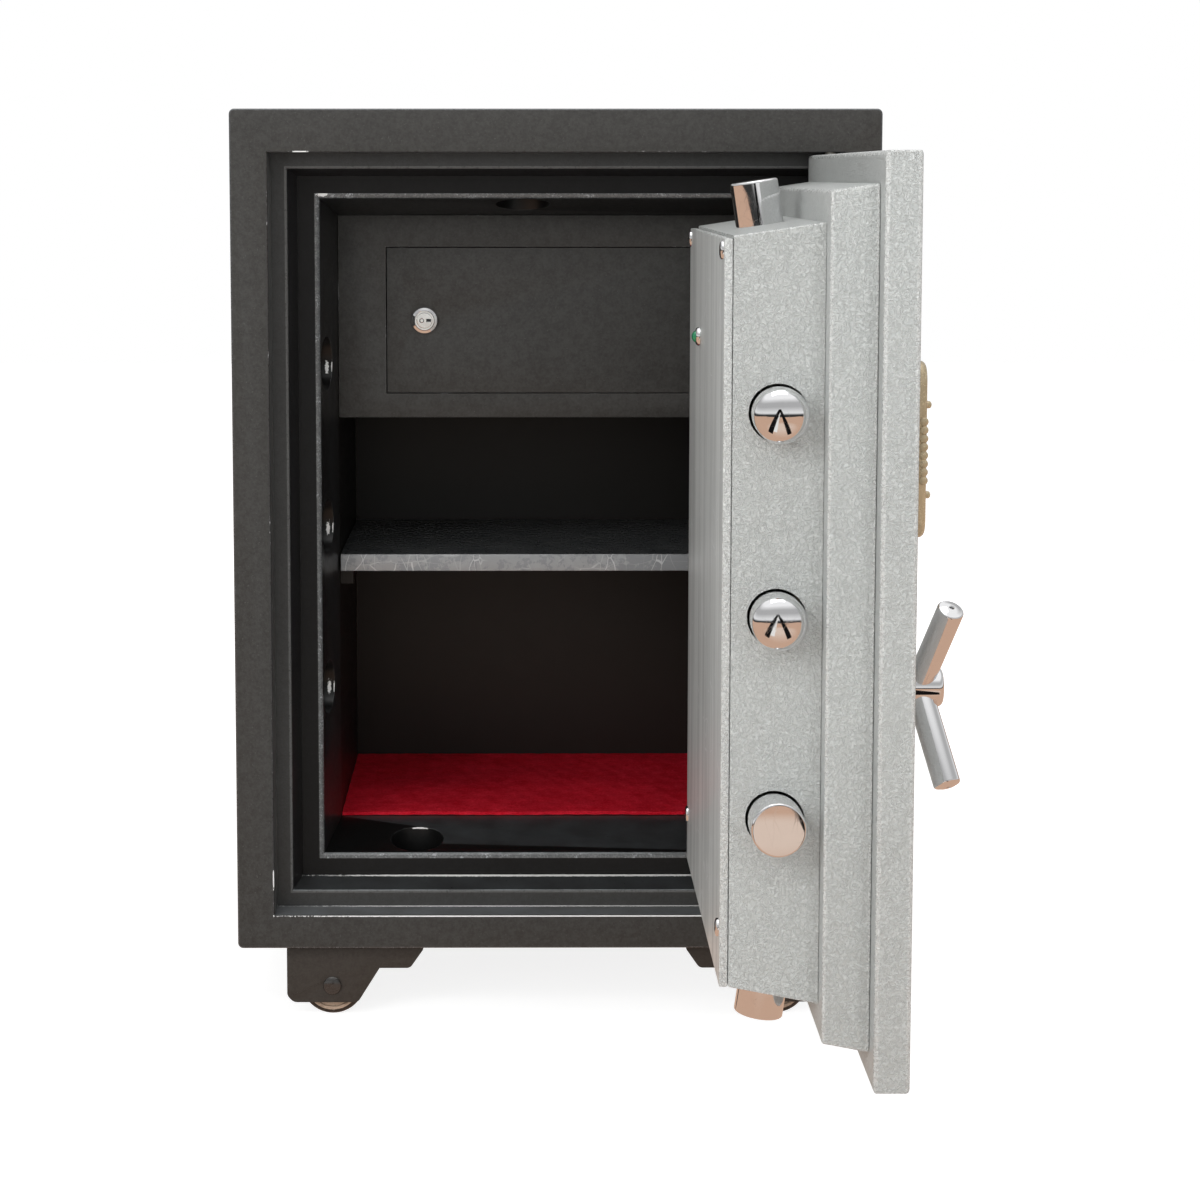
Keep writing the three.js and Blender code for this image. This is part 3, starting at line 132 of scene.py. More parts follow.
class Bench:
    """The modeller's bench: operators on one piece at a time, with everything else put away."""

    @staticmethod
    def take(piece: bpy.types.Object) -> None:
        """Selects one piece alone and makes it the active one.

        Args:
            piece: the piece.
        """
        if bpy.context.object and bpy.context.object.mode != "OBJECT":
            bpy.ops.object.mode_set(mode="OBJECT")
        bpy.ops.object.select_all(action="DESELECT")
        piece.select_set(True)
        bpy.context.view_layer.objects.active = piece

    @staticmethod
    @contextmanager
    def editing(piece: bpy.types.Object) -> Iterator[None]:
        """Opens a piece in edit mode with nothing selected, and closes it again.

        Args:
            piece: the piece.

        Returns:
            Nothing of use; the piece stays open for as long as the block runs.
        """
        Bench.take(piece)
        bpy.ops.object.mode_set(mode="EDIT")
        bpy.ops.mesh.select_all(action="DESELECT")
        yield
        bpy.ops.object.mode_set(mode="OBJECT")

    @staticmethod
    def pick(piece: bpy.types.Object, what: Pick, test: Callable) -> int:
        """Selects the parts of an open mesh that pass a test.

        Args:
            piece: the piece in edit mode.
            what: verts, edges or faces.
            test: takes one of them and says whether it is wanted.

        Returns:
            How many were selected.
        """
        bpy.ops.mesh.select_mode(type=what.value)
        bpy.ops.mesh.select_all(action="DESELECT")
        mesh = bmesh.from_edit_mesh(piece.data)
        mesh.normal_update()
        group = {Pick.VERTS: mesh.verts, Pick.EDGES: mesh.edges, Pick.FACES: mesh.faces}[what]
        wanted = [part for part in group if test(part)]
        for part in wanted:
            part.select_set(True)
        bmesh.update_edit_mesh(piece.data)
        return len(wanted)

    @staticmethod
    def settle(piece: bpy.types.Object, at: Vector | None = None, way: Vector | None = None) -> None:
        """Turns a piece's +Z to a direction, moves its base to a place and applies both to the mesh.

        Args:
            piece: a piece modelled along +Z from the origin.
            at: where its origin goes.
            way: where its +Z points.
        """
        Bench.take(piece)
        if at is not None:
            turn = (way or UP).to_track_quat("Z", "Y").to_matrix().to_4x4()
            piece.matrix_world = Matrix.Translation(at) @ turn @ piece.matrix_world
        bpy.ops.object.transform_apply(location=True, rotation=True, scale=True)

    @staticmethod
    def smooth(piece: bpy.types.Object, degrees: float = 35) -> bpy.types.Object:
        """Shades a piece smooth but for its sharp edges.

        Args:
            piece: the piece.
            degrees: the angle between two faces from which their edge stays sharp.

        Returns:
            The piece.
        """
        Bench.take(piece)
        bpy.ops.object.shade_smooth_by_angle(angle=math.radians(degrees))
        return piece

    @staticmethod
    def outward(piece: bpy.types.Object) -> None:
        """Merges doubles and points every face outwards.

        Args:
            piece: the piece.
        """
        with Bench.editing(piece):
            bpy.ops.mesh.select_all(action="SELECT")
            bpy.ops.mesh.remove_doubles(threshold=1e-6)
            bpy.ops.mesh.normals_make_consistent(inside=False)

    @staticmethod
    def turned(name: str, profile: Profile, sides: int) -> bpy.types.Object:
        """Draws a round piece up along +Z, ring by ring.

        Args:
            name: the piece's name.
            profile: pairs of radius and height, from the base up.
            sides: how many sides its rings have.

        Returns:
            The closed piece, at the origin.
        """
        radius, height = profile[0]
        bpy.ops.mesh.primitive_circle_add(vertices=sides, radius=radius, fill_type="NGON",
                                          location=(0, 0, height))
        piece = bpy.context.object
        piece.name = name
        with Bench.editing(piece):
            bpy.ops.mesh.select_all(action="SELECT")
            for next_radius, next_height in profile[1:]:
                bpy.ops.mesh.extrude_region_move(
                    TRANSFORM_OT_translate={"value": (0, 0, next_height - height)})
                grow = next_radius / radius
                bpy.ops.transform.resize(value=(grow, grow, 1), center_override=(0, 0, next_height))
                radius, height = next_radius, next_height
        Bench.outward(piece)
        Bench.settle(piece)
        return piece

    @staticmethod
    def block(name: str, low: Vector, high: Vector) -> bpy.types.Object:
        """Adds a block between two corners, with its place in its mesh.

        Args:
            name: the piece's name.
            low: its lowest corner.
            high: its highest corner.

        Returns:
            The block.
        """
        bpy.ops.mesh.primitive_cube_add(size=1, location=(low + high) / 2, scale=high - low)
        piece = bpy.context.object
        piece.name = name
        Bench.settle(piece)
        return piece

    @staticmethod
    def round_edges(piece: bpy.types.Object, width: float, steps: int, test: Callable,
                    worn: bool = False, sharpness: float = 30) -> int:
        """Rounds the outward edges that pass a test.

        Args:
            piece: the piece.
            width: how far the rounding reaches on each side of the edge.
            steps: how many facets the rounding has.
            test: takes an edge and says whether it is rounded.
            worn: gives the rounding the second material slot, which on the doorway's rim, ledge and lip carries
                painted highlights as well as wear.
            sharpness: the least angle, in degrees, that counts as an edge.

        Returns:
            How many edges were rounded.
        """
        least = math.radians(sharpness)

        def wanted(edge: bmesh.types.BMEdge) -> bool:
            """An outward edge that is sharp enough and passes the test."""
            return (edge.is_manifold and edge.is_convex and edge.calc_face_angle(0) > least
                    and test(edge))

        with Bench.editing(piece):
            count = Bench.pick(piece, Pick.EDGES, wanted)
            if count:
                bpy.ops.mesh.bevel(offset=width, segments=steps, profile=0.5, affect="EDGES",
                                   clamp_overlap=True, material=1 if worn else -1)
        return count

    @staticmethod
    def cut(piece: bpy.types.Object, tools: Sequence[bpy.types.Object]) -> None:
        """Cuts tools out of a piece and throws the tools away.

        Args:
            piece: the piece that is cut.
            tools: the pieces that are cut out of it.
        """
        for tool in tools:
            Bench.take(piece)
            cutter = piece.modifiers.new("cut", "BOOLEAN")
            cutter.operation = "DIFFERENCE"
            cutter.solver = "EXACT"
            cutter.object = tool
            bpy.ops.object.modifier_apply(modifier=cutter.name)
            bpy.data.objects.remove(tool)

    @staticmethod
    def join(name: str, parts: Sequence[bpy.types.Object]) -> bpy.types.Object:
        """Joins parts into one piece of that name.

        Args:
            name: the joined piece's name.
            parts: the parts, all taken up by the first.

        Returns:
            The joined piece.
        """
        Bench.take(parts[0])
        for part in parts[1:]:
            part.select_set(True)
        bpy.ops.object.join()
        piece = bpy.context.object
        piece.name = name
        return piece

    @staticmethod
    def another(piece: bpy.types.Object, name: str, move: Vector) -> bpy.types.Object:
        """Copies a piece with its own mesh and moves the copy's mesh.

        Args:
            piece: the piece to copy.
            name: the copy's name.
            move: how far its mesh is moved.

        Returns:
            The copy.
        """
        copy = piece.copy()
        copy.data = piece.data.copy()
        copy.name = name
        bpy.context.scene.collection.objects.link(copy)
        copy.location = move
        Bench.settle(copy)
        return copy

    @staticmethod
    def all_verts(test: Callable) -> Callable:
        """Makes a test for edges out of one for the places of their ends."""
        return lambda edge: all(test(vert.co) for vert in edge.verts)

    @staticmethod
    def in_front(node: str) -> Callable:
        """Makes a test for the edges in the front face of a node's box."""
        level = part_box(node)[0].y + TOUCH
        return Bench.all_verts(lambda co: co.y < level)

    @staticmethod
    def from_node(node: str, name: str) -> bpy.types.Object:
        """Copies a CAD node's solid as a start for a finer piece, with its loose triangles merged.

        Args:
            node: the node's name.
            name: the new piece's name.

        Returns:
            The copy, with no finish yet.
        """
        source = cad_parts[node]
        piece = bpy.data.objects.new(name, source.data.copy())
        bpy.context.scene.collection.objects.link(piece)
        piece.data.materials.clear()
        Bench.room_for_finishes(piece, 3)
        with Bench.editing(piece):
            bpy.ops.mesh.select_all(action="SELECT")
            bpy.ops.mesh.remove_doubles(threshold=2e-6)
            bpy.ops.mesh.dissolve_limited(angle_limit=math.radians(0.3))
        return piece

    @staticmethod
    def room_for_finishes(piece: bpy.types.Object, count: int) -> None:
        """Adds empty material slots, so that faces can be told apart before they are dressed."""
        while len(piece.data.materials) < count:
            piece.data.materials.append(None)

    @staticmethod
    def mark_faces(piece: bpy.types.Object, slot: int, test: Callable) -> int:
        """Gives the faces that pass a test another material slot.

        Args:
            piece: the piece.
            slot: the material slot's number.
            test: takes a face and says whether it is meant.

        Returns:
            How many faces were marked.
        """
        Bench.room_for_finishes(piece, slot + 1)
        with Bench.editing(piece):
            count = Bench.pick(piece, Pick.FACES, test)
            if count:
                piece.active_material_index = slot
                bpy.ops.object.material_slot_assign()
        return count


class Wiring:
    """One node tree, of a material or of an effect, with short ways to add and join its nodes."""

    def __init__(self, tree: bpy.types.NodeTree) -> None:
        """Keeps the tree."""
        self.tree = tree

    @classmethod
    def of(cls, owner: bpy.types.Material | bpy.types.World) -> "Wiring":
        """Opens the emptied node tree of a material or a world.

        Args:
            owner: the material or world.

        Returns:
            Its wiring.
        """
        owner.use_nodes = True
        owner.node_tree.nodes.clear()
        return cls(owner.node_tree)

    def fill(self, node: bpy.types.Node, values: dict) -> bpy.types.Node:
        """Sets a node's inputs to numbers, or links them to other nodes' outputs.

        Args:
            node: the node.
            values: numbers or other nodes' outputs, by the input's name or number.

        Returns:
            The node.
        """
        for key, value in values.items():
            if isinstance(value, bpy.types.NodeSocket):
                self.tree.links.new(value, node.inputs[key])
            else:
                node.inputs[key].default_value = value
        return node

    def add(self, kind: str, values: dict | None = None, **settings: object) -> bpy.types.Node:
        """Adds a node.

        Args:
            kind: the node's type.
            values: what goes into its inputs, as numbers or as other nodes' outputs.
            settings: its own properties.

        Returns:
            The node.
        """
        node = self.tree.nodes.new(kind)
        for key, value in settings.items():
            setattr(node, key, value)
        return self.fill(node, values or {})

    def sum(self, operation: str, first: object, second: object = 0.0) -> bpy.types.NodeSocket:
        """Works out one sum of two numbers or outputs."""
        return self.add("ShaderNodeMath", {0: first, 1: second}, operation=operation).outputs[0]

    def blend(self, first: object, first_share: float, second: object,
              second_share: float) -> bpy.types.NodeSocket:
        """Adds two outputs, each by its own share."""
        return self.sum("ADD", self.sum("MULTIPLY", first, first_share),
                        self.sum("MULTIPLY", second, second_share))

    def vector_sum(self, operation: str, first: object, second: object = (0, 0, 0)) -> bpy.types.NodeSocket:
        """Works out one sum of two vectors; a length or a distance comes out as a number."""
        node = self.add("ShaderNodeVectorMath", {0: first, 1: second}, operation=operation)
        return node.outputs["Value" if operation in ("LENGTH", "DISTANCE") else "Vector"]

    def spread(self, value: object, low: float, high: float, new_low: float = 0.0,
               new_high: float = 1.0) -> bpy.types.NodeSocket:
        """Spreads a range of a value over another range, held at its ends."""
        return self.add("ShaderNodeMapRange", {"Value": value, "From Min": low, "From Max": high,
                                               "To Min": new_low, "To Max": new_high}).outputs["Result"]

    def mix(self, share: object, first: object, second: object) -> bpy.types.NodeSocket:
        """Mixes two colours by a share."""
        node = self.add("ShaderNodeMix", {0: share, 6: first, 7: second}, data_type="RGBA")
        return node.outputs[2]

    def spot(self) -> bpy.types.NodeSocket:
        """Gives the place on the piece."""
        return self.add("ShaderNodeTexCoord").outputs["Object"]

    def stretched(self, spot: object, stretch: Place, turn: Place = (0, 0, 0),
                  move: Place = (0, 0, 0)) -> bpy.types.NodeSocket:
        """Stretches, turns and moves a place."""
        return self.add("ShaderNodeMapping", {"Vector": spot, "Scale": stretch, "Rotation": turn,
                                              "Location": move}).outputs["Vector"]

    def warped(self, spot: object, scale: float, detail: float, reach: float) -> bpy.types.NodeSocket:
        """Pushes a place about by soft noise of a reach."""
        push = self.add("ShaderNodeTexNoise", {"Vector": spot, "Scale": scale, "Detail": detail}).outputs["Color"]
        return self.vector_sum("ADD", spot, self.vector_sum("MULTIPLY", push, (reach, reach, reach)))

    def noise(self, spot: object, scale: object, detail: float = 3.0,
              rough: float = 0.55) -> bpy.types.NodeSocket:
        """Gives soft noise from 0 to 1."""
        return self.add("ShaderNodeTexNoise", {"Vector": spot, "Scale": scale, "Detail": detail,
                                               "Roughness": rough}).outputs["Fac"]


class Effect:
    """Surface effects that several finishes share, each built once as a node group."""

    made: dict[str, bpy.types.NodeTree] = {}

    @classmethod
    def start(cls, name: str, takes: dict[str, float | Colour],
              gives: dict[str, str]) -> tuple[Wiring, bpy.types.bpy_prop_collection, bpy.types.Node]:
        """Starts a group with named sockets.

        Args:
            name: the effect's name.
            takes: its inputs and their usual values.
            gives: its outputs and whether each is a Float or a Color.

        Returns:
            The group's wiring, what it takes and its output node.
        """
        tree = bpy.data.node_groups.new(name, "ShaderNodeTree")
        for key, value in takes.items():
            kind = "NodeSocketColor" if isinstance(value, tuple) else "NodeSocketFloat"
            tree.interface.new_socket(key, in_out="INPUT", socket_type=kind).default_value = value
        for key, kind in gives.items():
            tree.interface.new_socket(key, in_out="OUTPUT", socket_type=f"NodeSocket{kind}")
        cls.made[name] = tree
        wires = Wiring(tree)
        return wires, wires.add("NodeGroupInput").outputs, wires.add("NodeGroupOutput")

    @classmethod
    def use(cls, wires: Wiring, name: str, values: dict) -> bpy.types.Node:
        """Places an effect in a material with its own values, and builds it on its first use.

        Args:
            wires: the material's wiring.
            name: the effect's name.
            values: what goes into its inputs.

        Returns:
            The placed group.
        """
        if name not in cls.made:
            getattr(cls, name)()
        return wires.add("ShaderNodeGroup", values, node_tree=cls.made[name])

    @classmethod
    def tone_drift(cls) -> None:
        """Slow changes of tone over a surface, with finer mottling on top."""
        wires, takes, gives = cls.start(
            "tone_drift", {"Colour": (0.5, 0.5, 0.5, 1), "Scale": 6.0, "Depth": 0.2}, {"Colour": "Color"})
        spot = wires.spot()
        slow = wires.noise(spot, takes["Scale"], 2.0)
        fine = wires.noise(spot, wires.sum("MULTIPLY", takes["Scale"], 9.0), 4.0)
        both = wires.blend(slow, 0.65, fine, 0.35)
        swing = wires.sum("MULTIPLY", wires.sum("SUBTRACT", both, 0.5), takes["Depth"])
        lift = wires.sum("ADD", wires.sum("MULTIPLY", swing, 4.0), 1.0)
        toned = wires.add("ShaderNodeHueSaturation", {"Value": lift, "Color": takes["Colour"]})
        wires.fill(gives, {"Colour": toned.outputs["Color"]})

    @classmethod
    def powder_grain(cls) -> None:
        """The fine orange peel and flecks of a textured powder coat."""
        wires, takes, gives = cls.start("powder_grain", {"Scale": 700.0}, {"Height": "Float", "Fleck": "Float"})
        spot = wires.spot()
        fine = wires.noise(spot, takes["Scale"], 3.0, 0.6)
        broad = wires.noise(spot, wires.sum("MULTIPLY", takes["Scale"], 0.3), 2.0)
        height = wires.blend(fine, 0.6, broad, 0.4)
        specks = wires.noise(spot, wires.sum("MULTIPLY", takes["Scale"], 1.4), 1.0)
        wires.fill(gives, {"Height": height, "Fleck": wires.spread(specks, 0.66, 0.78)})

    @classmethod
    def hammered_skin(cls) -> None:
        """The fine worm-like wrinkles of a hammered paint."""
        wires, takes, gives = cls.start("hammered_skin", {"Scale": 230.0}, {"Height": "Float", "Crest": "Float"})
        spot = wires.spot()
        folds = wires.add("ShaderNodeTexNoise", {"Vector": spot, "Scale": takes["Scale"], "Detail": 1.5,
                                                 "Distortion": 0.7}).outputs["Fac"]
        away = wires.sum("ABSOLUTE", wires.sum("SUBTRACT", folds, 0.5))
        worm = wires.spread(away, 0.0, 0.11, 1.0, 0.0)
        fine = wires.noise(spot, wires.sum("MULTIPLY", takes["Scale"], 4.0), 2.0)
        height = wires.blend(worm, 0.75, fine, 0.3)
        wires.fill(gives, {"Height": height, "Crest": wires.spread(height, 0.1, 0.95)})

    @classmethod
    def chipped_patches(cls) -> None:
        """Broken patches where a coat has chipped or rubbed through."""
        wires, takes, gives = cls.start("chipped_patches", {"Scale": 120.0, "Share": 0.3}, {"Mask": "Float"})
        spot = wires.spot()
        coarse = wires.noise(spot, wires.sum("MULTIPLY", takes["Scale"], 0.15), 2.0)
        fine = wires.noise(spot, takes["Scale"], 5.0, 0.7)
        both = wires.blend(coarse, 0.45, fine, 0.55)
        edge = wires.spread(takes["Share"], 0.0, 1.0, 0.68, 0.34)
        wires.fill(gives, {"Mask": wires.spread(wires.sum("SUBTRACT", both, edge), 0.0, 0.035)})

    @classmethod
    def hair_scratches(cls) -> None:
        """Thin curved scratches that cross one another and fade in and out."""
        wires, takes, gives = cls.start("hair_scratches", {"Scale": 60.0, "Width": 0.03}, {"Mask": "Float"})
        bent = wires.warped(wires.spot(), 25.0, 1.0, 0.02)
        lines = []
        for stretch in ((1.0, 1.0, 0.35), (0.3, 1.0, 1.0)):
            leaned = wires.stretched(bent, stretch, turn=(0.4, 0.5, 0.3))
            cells = wires.add("ShaderNodeTexVoronoi", {"Vector": leaned, "Scale": takes["Scale"]},
                              feature="DISTANCE_TO_EDGE").outputs["Distance"]
            line = wires.sum("LESS_THAN", cells, takes["Width"])
            gaps = wires.spread(wires.noise(leaned, 38.0, 1.0), 0.45, 0.6)
            lines.append(wires.sum("MULTIPLY", line, gaps))
        wires.fill(gives, {"Mask": wires.sum("MAXIMUM", *lines)})

    @classmethod
    def upright_streaks(cls) -> None:
        """Long soft streaks up and down a rolled sheet."""
        wires, takes, gives = cls.start("upright_streaks", {"Scale": 60.0}, {"Streak": "Float"})
        spot = wires.spot()
        broad = wires.noise(wires.stretched(spot, (1, 1, 0.05)), takes["Scale"], 2.0)
        fine = wires.noise(wires.stretched(spot, (1, 1, 0.02)), wires.sum("MULTIPLY", takes["Scale"], 7.0), 4.0)
        both = wires.blend(broad, 0.6, fine, 0.4)
        wires.fill(gives, {"Streak": wires.spread(both, 0.3, 0.7)})

    @classmethod
    def dust_and_painted_sheen(cls) -> None:
        """Thin dust, and a painted sheen, on what faces up: a lighter colour mixed in by how far a face looks up.
        """
        wires, takes, gives = cls.start("dust_and_painted_sheen", {"Amount": 0.2}, {"Mask": "Float"})
        facing = wires.add("ShaderNodeSeparateXYZ", {0: wires.add("ShaderNodeNewGeometry").outputs["Normal"]})
        level = wires.spread(facing.outputs["Z"], 0.6, 0.98)
        patchy = wires.spread(wires.noise(wires.spot(), 45.0, 5.0, 0.65), 0.35, 0.75, 0.25, 1.0)
        dust_and_sheen_share = wires.sum("MULTIPLY", level, patchy)
        wires.fill(gives, {"Mask": wires.sum("MULTIPLY", dust_and_sheen_share, takes["Amount"])})


class Finish:
    """What every finish does: it makes its material once, on its first use."""

    kept: dict["Finish", bpy.types.Material] = {}

    def material(self) -> bpy.types.Material:
        """Gives the finish's material.

        Returns:
            The material.
        """
        if self not in Finish.kept:
            made = bpy.data.materials.new(self.title)
            wires = Wiring.of(made)
            body = wires.add("ShaderNodeBsdfPrincipled")
            wires.add("ShaderNodeOutputMaterial", {"Surface": body.outputs["BSDF"]})
            self.wire(wires, body)
            Finish.kept[self] = made
        return Finish.kept[self]

    @staticmethod
    def give(wires: Wiring, body: bpy.types.Node, **values: object) -> None:
        """Sets or links the shader's inputs, named in small letters.

        Args:
            wires: the material's wiring.
            body: its shader.
            values: numbers or outputs, by short names.
        """
        names = {"colour": "Base Color", "rough": "Roughness", "metal": "Metallic", "gloss": "Specular IOR Level",
                 "coat": "Coat Weight", "coat_rough": "Coat Roughness", "sheen": "Sheen Weight",
                 "sheen_rough": "Sheen Roughness", "normal": "Normal"}
        wires.fill(body, {names[key]: value for key, value in values.items()})

    @staticmethod
    def bump(wires: Wiring, height: object, depth: float) -> bpy.types.NodeSocket:
        """Raises a surface by a height of up to the given depth."""
        bump = wires.add("ShaderNodeBump", {"Height": height, "Distance": depth, "Strength": 1.0})
        return bump.outputs["Normal"]


@dataclass(frozen=True)
class PowderCoat(Finish):
    """Fine textured powder coat, rubbed where it is an edge; where it faces up it is mixed towards a lighter
    colour, dust in some coats and a painted sheen or highlight in others.
    """

    title: str
    colour: Colour
    fleck: Colour
    rough: float = 0.52
    gloss: float = 0.35
    grain: float = 700.0
    grain_tone: float = 0.1
    depth: float = 0.00005
    drift: float = 0.12
    dust_and_sheen: float = 0.10
    chips: float = 0.0
    chip_scale: float = 260.0
    chip_colour: Colour = (0.55, 0.55, 0.54, 1.0)
    dust_and_sheen_colour: Colour = (0.32, 0.31, 0.29, 1.0)
    # Scars of bared metal, and painted highlight lines and glints drawn the same way
    scars_and_highlights: tuple[tuple[float, float, float, float, float], ...] = ()
    scar_and_highlight_depth: float = 0.002
    scar_and_highlight_colour: Colour = (0.86, 0.85, 0.83, 1.0)

    def scarred_and_highlighted(self, wires: Wiring, colour: bpy.types.NodeSocket) -> bpy.types.NodeSocket:
        """Bares the metal at single scars, and paints highlight lines and glints the same way, each a place with
        its half length across and up.

        Args:
            wires: the material's wiring.
            colour: the coat's colour so far.

        Returns:
            The colour with the scars and the painted highlights.
        """
        spot, deep = wires.spot(), self.scar_and_highlight_depth
        ragged = wires.spread(wires.noise(spot, 900.0), 0.2, 0.8, 0.55, 1.45)
        for x, y, z, across, up in self.scars_and_highlights:
            near = wires.stretched(spot, (1 / across, 1 / deep, 1 / up), move=(-x / across, -y / deep, -z / up))
            reach = wires.vector_sum("LENGTH", near)
            mask = wires.spread(wires.sum("MULTIPLY", reach, ragged), 0.85, 1.0, 1.0, 0.0)
            colour = wires.mix(mask, colour, self.scar_and_highlight_colour)
        return colour

    def wire(self, wires: Wiring, body: bpy.types.Node) -> None:
        """Wires the coat.

        Args:
            wires: the material's wiring.
            body: its shader.
        """
        toned = Effect.use(wires, "tone_drift", {"Colour": self.colour, "Scale": 5.0, "Depth": self.drift})
        grain = Effect.use(wires, "powder_grain", {"Scale": self.grain})
        crests = wires.spread(grain.outputs["Height"], 0.38, 0.62, 0.0, self.grain_tone)
        share = wires.sum("MAXIMUM", crests, wires.sum("MULTIPLY", grain.outputs["Fleck"], 0.22))
        flecked = wires.mix(share, toned.outputs["Colour"], self.fleck)
        # Upward faces take a lighter colour: the usual brownish grey is dust, while the coats that set a colour of
        # their own use it for a painted sheen or highlight.
        dust_and_sheen = Effect.use(wires, "dust_and_painted_sheen", {"Amount": self.dust_and_sheen})
        colour = wires.mix(dust_and_sheen.outputs["Mask"], flecked, self.dust_and_sheen_colour)
        rough = wires.spread(grain.outputs["Height"], 0.3, 0.7, self.rough - 0.08, self.rough + 0.08)
        if self.chips:
            chips = Effect.use(wires, "chipped_patches", {"Scale": self.chip_scale,
                                                          "Share": self.chips}).outputs["Mask"]
            colour = wires.mix(chips, colour, self.chip_colour)
            rough = wires.sum("MULTIPLY", rough, wires.spread(chips, 0.0, 1.0, 1.0, 0.75))
        if self.scars_and_highlights:
            colour = self.scarred_and_highlighted(wires, colour)
        self.give(wires, body, colour=colour, rough=rough, gloss=self.gloss,
                  normal=self.bump(wires, grain.outputs["Height"], self.depth))


@dataclass(frozen=True)
class HammeredPaint(Finish):
    """Silver grey hammered paint."""

    title: str
    colour: Colour
    crest: Colour
    rough: float = 0.42
    scale: float = 430.0
    depth: float = 0.00055
    drift: float = 0.05
    rubbed: float = 0.0

    def wire(self, wires: Wiring, body: bpy.types.Node) -> None:
        """Wires the paint.

        Args:
            wires: the material's wiring.
            body: its shader.
        """
        skin = Effect.use(wires, "hammered_skin", {"Scale": self.scale})
        # Crests are mixed lighter than the valleys between the wrinkles: the paint's own tone, and partly a
        # painted shade in the valleys.
        base = wires.mix(skin.outputs["Crest"], self.colour, self.crest)
        toned = Effect.use(wires, "tone_drift", {"Colour": base, "Scale": 7.0, "Depth": self.drift})
        colour = toned.outputs["Colour"]
        if self.rubbed:
            mark = Effect.use(wires, "chipped_patches", {"Scale": 300.0, "Share": self.rubbed}).outputs["Mask"]
            colour = wires.mix(wires.sum("MULTIPLY", mark, 0.4), colour, (0.34, 0.35, 0.35, 1))
        rough = wires.spread(skin.outputs["Height"], 0.3, 0.9, self.rough - 0.08, self.rough + 0.12)
        self.give(wires, body, colour=colour, rough=rough, metal=0.25, gloss=0.5,
                  normal=self.bump(wires, skin.outputs["Height"], self.depth))


@dataclass(frozen=True)
class Chrome(Finish):
    """Bright plating with faint handling marks."""

    title: str
    colour: Colour = (0.86, 0.86, 0.87, 1.0)
    rough: float = 0.045

    def wire(self, wires: Wiring, body: bpy.types.Node) -> None:
        """Wires the plating.

        Args:
            wires: the material's wiring.
            body: its shader.
        """
        marks = Effect.use(wires, "hair_scratches", {"Scale": 130.0, "Width": 0.02})
        smears = wires.noise(wires.spot(), 90.0, 4.0)
        base = wires.spread(smears, 0.35, 0.75, self.rough * 0.6, self.rough * 1.9)
        rough = wires.sum("ADD", base, wires.sum("MULTIPLY", marks.outputs["Mask"], 0.10))
        toned = Effect.use(wires, "tone_drift", {"Colour": self.colour, "Scale": 20.0, "Depth": 0.03})
        self.give(wires, body, colour=toned.outputs["Colour"], rough=rough, metal=1.0)


@dataclass(frozen=True)
class SatinSheet(Finish):
    """Rolled sheet metal with upright streaks and stray scratches."""

    title: str
    colour: Colour
    streak: Colour
    rough: float = 0.3
    metal: float = 0.85

    def wire(self, wires: Wiring, body: bpy.types.Node) -> None:
        """Wires the sheet.

        Args:
            wires: the material's wiring.
            body: its shader.
        """
        streaks = Effect.use(wires, "upright_streaks", {"Scale": 38.0}).outputs["Streak"]
        marks = Effect.use(wires, "hair_scratches", {"Scale": 26.0, "Width": 0.012}).outputs["Mask"]
        toned = Effect.use(wires, "tone_drift", {"Colour": wires.mix(streaks, self.colour, self.streak),
                                                 "Scale": 9.0, "Depth": 0.05})
        colour = wires.mix(wires.sum("MULTIPLY", marks, 0.5), toned.outputs["Colour"], (0.8, 0.8, 0.8, 1))
        rough = wires.spread(streaks, 0.0, 1.0, self.rough + 0.07, self.rough - 0.06)
        self.give(wires, body, colour=colour, rough=rough, metal=self.metal,
                  normal=self.bump(wires, streaks, 0.00003))


@dataclass(frozen=True)
class BareMetal(Finish):
    """Plain plated or machined metal, cloudy and a little rubbed."""

    title: str
    colour: Colour
    worn: Colour
    rough: float = 0.4
    metal: float = 0.9
    scratches: float = 0.3
    scratch_scale: float = 85.0
    scratch_width: float = 0.035

    def wire(self, wires: Wiring, body: bpy.types.Node) -> None:
        """Wires the metal.

        Args:
            wires: the material's wiring.
            body: its shader.
        """
        marks = Effect.use(wires, "hair_scratches", {"Scale": self.scratch_scale,
                                                     "Width": self.scratch_width}).outputs["Mask"]
        patches = Effect.use(wires, "chipped_patches", {"Scale": 190.0, "Share": 0.55}).outputs["Mask"]
        toned = Effect.use(wires, "tone_drift", {"Colour": self.colour, "Scale": 18.0, "Depth": 0.14})
        stained = wires.mix(wires.sum("MULTIPLY", patches, 0.5), toned.outputs["Colour"], self.worn)
        colour = wires.mix(wires.sum("MULTIPLY", marks, self.scratches), stained, (0.82, 0.82, 0.82, 1))
        rough = wires.spread(patches, 0.0, 1.0, self.rough - 0.08, self.rough + 0.14)
        self.give(wires, body, colour=colour, rough=rough, metal=self.metal,
                  normal=self.bump(wires, marks, 0.00004))


@dataclass(frozen=True)
class Moulded(Finish):
    """A moulded part: plastic or rubber, plain to shiny."""

    title: str
    colour: Colour
    rough: float
    metal: float = 0.0
    coat: float = 0.0
    grain: float = 900.0
    depth: float = 0.00001

    def wire(self, wires: Wiring, body: bpy.types.Node) -> None:
        """Wires the moulding.

        Args:
            wires: the material's wiring.
            body: its shader.
        """
        grain = Effect.use(wires, "powder_grain", {"Scale": self.grain})
        toned = Effect.use(wires, "tone_drift", {"Colour": self.colour, "Scale": 30.0, "Depth": 0.06})
        rough = wires.spread(grain.outputs["Height"], 0.3, 0.7, self.rough * 0.85, self.rough * 1.15)
        self.give(wires, body, colour=toned.outputs["Colour"], rough=rough, metal=self.metal, coat=self.coat,
                  normal=self.bump(wires, grain.outputs["Height"], self.depth))


